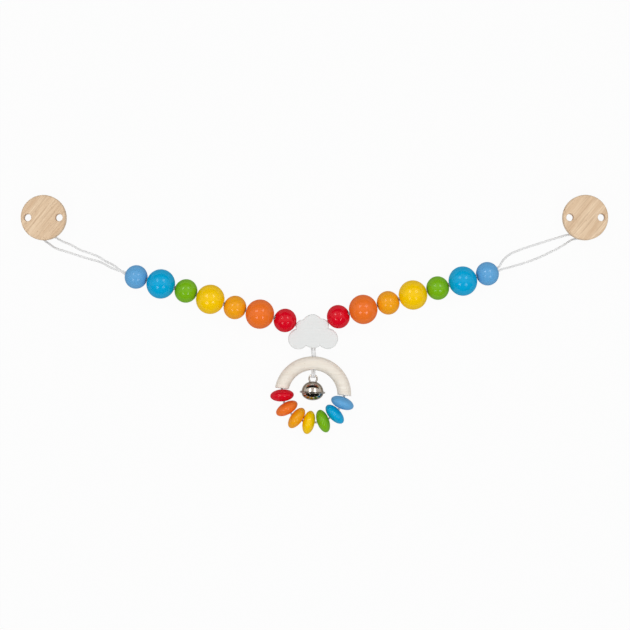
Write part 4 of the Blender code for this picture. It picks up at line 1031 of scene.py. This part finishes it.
def swept_ring(name, place):
    """A tube of round section along the ring's arc, a little longer than the half ring."""
    sides = TURN_STEPS // 2
    section = arc_points((RING_MID_RADIUS, 0), RING_TUBE_RADIUS, 0, 360, sides)[:-1]
    points = []
    for step in range(TURN_STEPS + 1):
        out = plan(RING_AXIS - RING_SWEEP + 2 * RING_SWEEP * step / TURN_STEPS)
        for reach, level in section:
            point = ring_centre() + out * reach
            points.append((point.x, point.y, level))
    mesh = new_mesh(name, points, tube_faces(TURN_STEPS + 1, sides))
    weld(mesh)
    return new_object(name, mesh, place)


def build_ring(paint):
    place = ring_frame()
    centre = ring_centre()
    ring = swept_ring("half_ring_turned", place)
    reach = RING_MID_RADIUS + RING_TUBE_RADIUS + CUT_OVERRUN
    turn = Matrix.Rotation(math.radians(RING_AXIS - 90), 4, "Z")
    saw_frame = place @ Matrix.Translation(centre) @ turn
    through = plan(RING_AXIS + RING_HOLE_TURN)
    hole = [CUT_OVERRUN * through, -(2 * RING_TUBE_RADIUS + CUT_OVERRUN) * through]
    cutters = [
        box("saw", (0, RING_SAW_OFFSET - reach / 2, 0), (2 * reach, reach, 2 * reach), saw_frame),
        rod("ring_hole", place @ hole[0], place @ hole[1], DROP_BORE_RADIUS),
    ]
    for sign in (-1, 1):
        start = ring_end(sign) - plan(RING_AXIS) * CUT_OVERRUN
        end = ring_end(sign) + plan(RING_AXIS) * RING_END_HOLE_DEPTH
        cutters.append(rod(f"end_hole_{sign}", place @ start, place @ end, RING_END_HOLE_RADIUS))
    cut(ring, *cutters)
    soften(ring, *RING_SOFTENING)
    finish_piece(settle(ring, place), paint, "ring_body", "pale_wood", "half_ring")


def build_drop_cords(paint):
    """The cord from the cloud to the ring and on through the ring's hole."""
    hitch = crossing()
    hitch.z = CLOUD_THICKNESS / 2
    bottom = joint_place("drop_swing")
    mouth = joint_place("ring_swing")
    inner = joint_place("bell_loop_swing")
    half = (bottom + mouth) / 2
    inward = (inner - mouth).normalized()
    upper, lower = [], []
    for sign in (-1, 1):
        apart = Vector((DROP_STRAND_OFFSET * sign, 0, 0))
        together = Vector((STRAND_OFFSET * sign, 0, 0))
        upper.append([point + apart for point in (hitch, bottom, half)])
        joined = (mouth + inward * DROP_JOIN, inner - inward * LOOP_TUCK)
        lead = [half + apart, mouth + (together + apart) / 2]
        lower.append(smooth_route([*lead, *(point + together for point in joined)]))
    along = mouth - bottom
    pair = ("cloud_body", "drop_body")
    build_bend("drop_cord_upper", upper, paint, pair, bottom, along, "cloud_cord")
    pair = ("drop_body", "ring_body")
    build_bend("drop_cord_lower", lower, paint, pair, mouth, along, "drop_cord", "ring_cord")


def build_string(paint):
    """The single cord through the lens beads, from one end of the ring to the other."""
    place = ring_frame()
    inward = place.to_3x3() @ plan(RING_AXIS)
    lift = Vector((0, 0, STRING_LIFT))
    ends = [place @ ring_end(sign) for sign in (-1, 1)]
    route = [ends[0] + inward * STRING_TUCK, ends[0] + lift]
    route += [joint_place(f"lens_{name}_spin") for name in CHAIN_COLOURS]
    route += [ends[1] + lift, ends[1] + inward * STRING_TUCK]
    for outer, inner in ((2, 1), (-3, -2)):
        route[outer].z = (route[outer].z + route[inner].z) / 2
    piece = braided("lens_string_cord", [smooth_route(route)])
    finish_piece(piece, paint, "ring_body", "cord", "lens_string")


# Bell


def bell_direction():
    return plan(BELL_TURN - 90)


def bell_frame():
    """The bell's frame: origin on the eye's wire, Z back along the bell, X to the right."""
    return frame_along(joint_place("bell_swing"), -bell_direction())


def build_bell_loop(paint):
    """The doubled cord out of the ring, over the eye's wire, through the eye and back."""
    mouth = joint_place("bell_loop_swing")
    wire = joint_place("bell_swing")
    away = bell_direction()
    depth = -away * LOOP_TUCK
    room = CORD_RADIUS + EYE_WIRE_RADIUS + CORD_GAP
    rise = CORD_RADIUS + CORD_GAP / 2
    before, below = (room * share for share in LOOP_APPROACH_SHARES)
    high = [mouth + UP * rise, wire - away * before - UP * below]
    arc = arc_points((0, 0), room, *LOOP_WRAP, LOOP_WRAP_ARCS)
    wrap = [wire - away * x + UP * y for x, y in arc]
    past = away * room * LOOP_RETURN_SHARE
    low = [mouth + past + UP * (rise - room), mouth - UP * rise]
    route = smooth_route([high[0] + depth, *high, *wrap, *low, low[-1] + depth], ROUTE_STEP / 2)
    piece = braided("bell_loop_cord", side_by_side(route, across=away.cross(UP)))
    finish_piece(piece, paint, "bell_loop_body", "cord", "bell_loop")


def shell_arc(radius, height):
    """A quarter of an ellipse from the pole out to the flange."""
    arc = arc_points((0, 0), radius, 90, 0, SHELL_ARCS)
    return [(0, height), *((x, y * height / radius) for x, y in arc[1:])]


def lathe_shell(name, sign, height, place):
    """A shell of the bell with its flange. The sign is 1 for the dome and -1 for the bowl."""
    half = BELL_SHEET / 2
    base = FLANGE_LEVEL + sign * (CORD_GAP / 2 + BELL_SHEET)
    outer = shell_arc(BELL_RADIUS, height)[:-2]
    fillet = (BELL_RADIUS + FLANGE_FILLET, FLANGE_FILLET)
    rim = arc_points((BELL_FLANGE_RADIUS - half, -half), half, 90, -90, EDGE_ARCS)
    inner = reversed(shell_arc(BELL_RADIUS - BELL_SHEET, height))
    under = [(x, y - BELL_SHEET) for x, y in inner]
    profile = [(x, base + sign * y) for x, y in (*outer, fillet, *rim, *under)]
    return lathe(name, profile[::sign], place)


def build_dome(place, paint):
    """The upper shell, with holes for the eye's legs."""
    dome = lathe_shell("bell_dome", 1, BELL_DOME_HEIGHT - CORD_GAP / 2 - BELL_SHEET, place)
    levels = (EYE_LEG_END - CUT_OVERRUN, -EYE_RADIUS)
    for x in (-EYE_LEG_OFFSET, EYE_LEG_OFFSET):
        cut(dome, upright_rod("leg_hole", place, x, levels, EYE_WIRE_RADIUS + CORD_GAP / 2))
    finish_piece(settle(dome, place), paint, "bell_body", "nickel", "bell_upper_shell")


def build_bowl(place, paint):
    """The lower shell, with the sound slot and its round ends."""
    bowl = lathe_shell("bell_bowl", -1, BELL_BOWL_DEPTH, place)
    bottom = FLANGE_LEVEL - CORD_GAP / 2 - BELL_SHEET - BELL_BOWL_DEPTH
    levels = (bottom - CUT_OVERRUN, bottom + BELL_BOWL_DEPTH)
    cutters = [box("slot", (0, 0, bottom), (SLOT_LENGTH, SLOT_WIDTH, BELL_BOWL_DEPTH), place)]
    for x in (-SLOT_LENGTH / 2, SLOT_LENGTH / 2):
        cutters.append(upright_rod("slot_end", place, x, levels, SLOT_END_RADIUS))
    cut(bowl, *cutters)
    soften(bowl, *BOWL_SOFTENING)
    finish_piece(settle(bowl, place), paint, "bell_body", "nickel", "bell_lower_shell")


def round_tube(name, points, radius, place):
    """A plain round tube along the points, with flat ends."""
    corners = []
    for point, (_, side, other) in zip(points, route_frames(points)):
        for step in range(WIRE_SIDES):
            turn = 2 * math.pi * step / WIRE_SIDES
            corners.append(point + (side * math.cos(turn) + other * math.sin(turn)) * radius)
    mesh = new_mesh(name, corners, tube_faces(len(points), WIRE_SIDES))
    smooth_faces(mesh)
    return new_object(name, mesh, place)


def build_eye(place, paint):
    spread = math.degrees(math.acos(EYE_LEG_OFFSET / EYE_RADIUS))
    arc = arc_points((0, -EYE_RADIUS), EYE_RADIUS, -spread, 180 + spread, EYE_ARCS)
    route = [(arc[0][0], EYE_LEG_END), *arc, (arc[-1][0], EYE_LEG_END)]
    points = [Vector((x, 0, z)) for x, z in route]
    eye = settle(round_tube("bell_eye_wire", points, EYE_WIRE_RADIUS, place), place)
    finish_piece(eye, paint, "bell_body", "nickel", "bell_eye")


def build_pellet(bell, paint):
    drop = BELL_RADIUS - BELL_SHEET - PELLET_RADIUS - 2 * CORD_GAP
    place = bell @ Matrix.Translation((0, drop, FLANGE_LEVEL))
    arc = arc_points((0, 0), PELLET_RADIUS, 90, -90, SHELL_ARCS)
    profile = [(0, PELLET_RADIUS), *arc[1:-1], (0, -PELLET_RADIUS)]
    ball = settle(lathe("pellet_ball", profile, place, TURN_STEPS // 2), place)
    finish_piece(ball, paint, "pellet_body", "steel", "pellet")


# Clips


def vent_cutter(name, x, clip):
    """A cutter for a vent hole, flared at both faces so that the hole's edges are round."""
    low, high = CLIP_STACK, CLIP_STACK + DISC_THICKNESS
    wide = VENT_RADIUS + VENT_FLARE
    arc = arc_points((wide, high - VENT_FLARE), VENT_FLARE, 90, 180, EDGE_ARCS)
    profile = [(0, high + CUT_OVERRUN), (wide, high + CUT_OVERRUN), *arc]
    profile += [(radius, low + high - level) for radius, level in reversed(profile)]
    return lathe(name, profile, clip @ Matrix.Translation((x, 0, 0)), TURN_STEPS // 2)


def build_disc(side, clip, paint):
    top = CLIP_STACK + DISC_THICKNESS
    rim = DISC_RADIUS - DISC_EDGE_ROUND
    profile = [(0, top)]
    profile += arc_points((rim, top - DISC_EDGE_ROUND), DISC_EDGE_ROUND, 90, 0, EDGE_ARCS)
    low = CLIP_STACK + DISC_EDGE_ROUND
    profile += arc_points((rim, low), DISC_EDGE_ROUND, 0, -90, EDGE_ARCS)
    profile.append((0, CLIP_STACK))
    disc = lathe(f"{side}_disc_turned", profile, clip)
    levels = (CLIP_STACK - CUT_OVERRUN, CLIP_STACK + RIVET_DEPTH)
    cutters = [upright_rod("rivet_hole", clip, 0, levels, RIVET_RADIUS + CORD_GAP)]
    cutters += [vent_cutter(f"vent_{sign}", sign * VENT_OFFSET, clip) for sign in (-1, 1)]
    cut(disc, *cutters)
    disc = settle(disc, clip, DISC_GRAIN_SHIFTS[side])
    finish_piece(disc, paint, f"{side}_clip_body", "natural_wood", f"{side}_clip_disc")


def dress_node(name, material):
    node = frame["nodes"][name]
    if not node.material_slots:
        node.data.materials.append(material)
    for slot in node.material_slots:
        slot.material = material
    soften(node, *STEEL_SOFTENING)


# Floor, world and lamps


def build_floor():
    signs = ((-1, -1), (1, -1), (1, 1), (-1, 1))
    corners = [(x * FLOOR_HALF, y * FLOOR_HALF, 0) for x, y in signs]
    mesh = new_mesh("floor", corners, [(0, 1, 2, 3)])
    floor = new_object("floor", mesh, Matrix.Translation((0, 0, -FLOOR_GAP)))
    material = bpy.data.materials.new("floor_white")
    shading = Shading(material)
    shading.tree.nodes.clear()
    share = shading.maths("MULTIPLY", shading.seen_directly(), FLOOR_GLOW_SHARE)
    matt = shading.add("ShaderNodeBsdfDiffuse", {"Color": colour(FLOOR_COLOUR)})
    glow = shading.add("ShaderNodeEmission", {"Color": colour(WHITE)})
    mixed = shading.mix_shaders(share, matt, glow)
    shading.add("ShaderNodeOutputMaterial", {"Surface": mixed})
    mesh.materials.append(material)


def build_world():
    """An even light, and the studio that gloss and metal show: a soft box and a bright horizon."""
    world = bpy.data.worlds.new("studio")
    bpy.context.scene.world = world
    shading = Shading(world)
    shading.tree.nodes.clear()
    x, y, z = shading.parts(shading.add("ShaderNodeTexCoord").outputs["Generated"])
    tilt = math.radians(SOFT_BOX_TILT)
    maths = shading.maths
    ahead = maths("MULTIPLY", y, math.sin(tilt))
    above = maths("MULTIPLY", z, math.cos(tilt))
    toward = maths("POWER", maths("MAXIMUM", maths("ADD", ahead, above), 0.0), 2.0)
    across = maths("MULTIPLY", maths("MULTIPLY", x, x), SOFT_BOX_WIDTH_SHARE)
    nearness = maths("SQRT", maths("ADD", toward, across))
    soft_box = shading.ramp(nearness, SOFT_BOX_BAND)
    level = maths("MAXIMUM", soft_box, shading.ramp(z, HORIZON_BAND))
    lights = [
        shading.add("ShaderNodeBackground", {"Color": colour(WHITE), "Strength": strength})
        for strength in (WORLD_FILL, level)
    ]
    mixed = shading.mix_shaders(shading.seen_directly(), *lights)
    shading.add("ShaderNodeOutputWorld", {"Surface": mixed})


def build_lamps():
    """Four soft square lamps above the table."""
    for x in (-1, 1):
        for y in (-1, 1):
            lamp = bpy.data.lights.new(f"lamp_{x}_{y}", "AREA")
            lamp.shape = "SQUARE"
            lamp.size = LAMP_SIZE
            lamp.energy = LAMP_POWERS[y]
            at = Vector((x * LAMP_REACH, y * LAMP_REACH, LAMP_HEIGHT))
            turn = at.to_track_quat("Z", "Y").to_matrix().to_4x4()
            new_object(lamp.name, lamp, Matrix.Translation(at) @ turn)


build_camera()
cord_paint = braid_paint()
build_loop("left", LEFT_LOOP_ROUTE, cord_paint)
build_loop("right", RIGHT_LOOP_ROUTE, cord_paint)
for arm in SIDES:
    build_chain_cords(arm, cord_paint)
build_drop_cords(cord_paint)
build_string(cord_paint)
build_bell_loop(cord_paint)
paints = {name: lacquer(name, colour(written)) for name, written in PAINT_COLOURS.items()}
build_beads(paints)
build_cloud(white_paint())
pale = beech("bleached_beech", PALE_BEECH, PALE_CONTRAST_SHARE)
natural = beech("oiled_beech", NATURAL_BEECH, NATURAL_CONTRAST_SHARE, NATURAL_TURN)
build_ring(pale)
nickel = plated("nickel_plate", *NICKEL)
steel = plated("steel_plate", *STEEL)
bell = bell_frame()
build_dome(bell, nickel)
build_bowl(bell, nickel)
build_eye(bell, nickel)
build_pellet(bell, steel)
for arm in SIDES:
    clip = Matrix.Translation(clip_middle(arm))
    build_disc(arm, clip, natural)
    for node in ("plate", "jaw", "lever", "pin", "rivet"):
        dress_node(f"{arm}_clip_{node}", steel)
build_floor()
build_world()
build_lamps()
bpy.context.scene.view_settings.view_transform = "Standard"
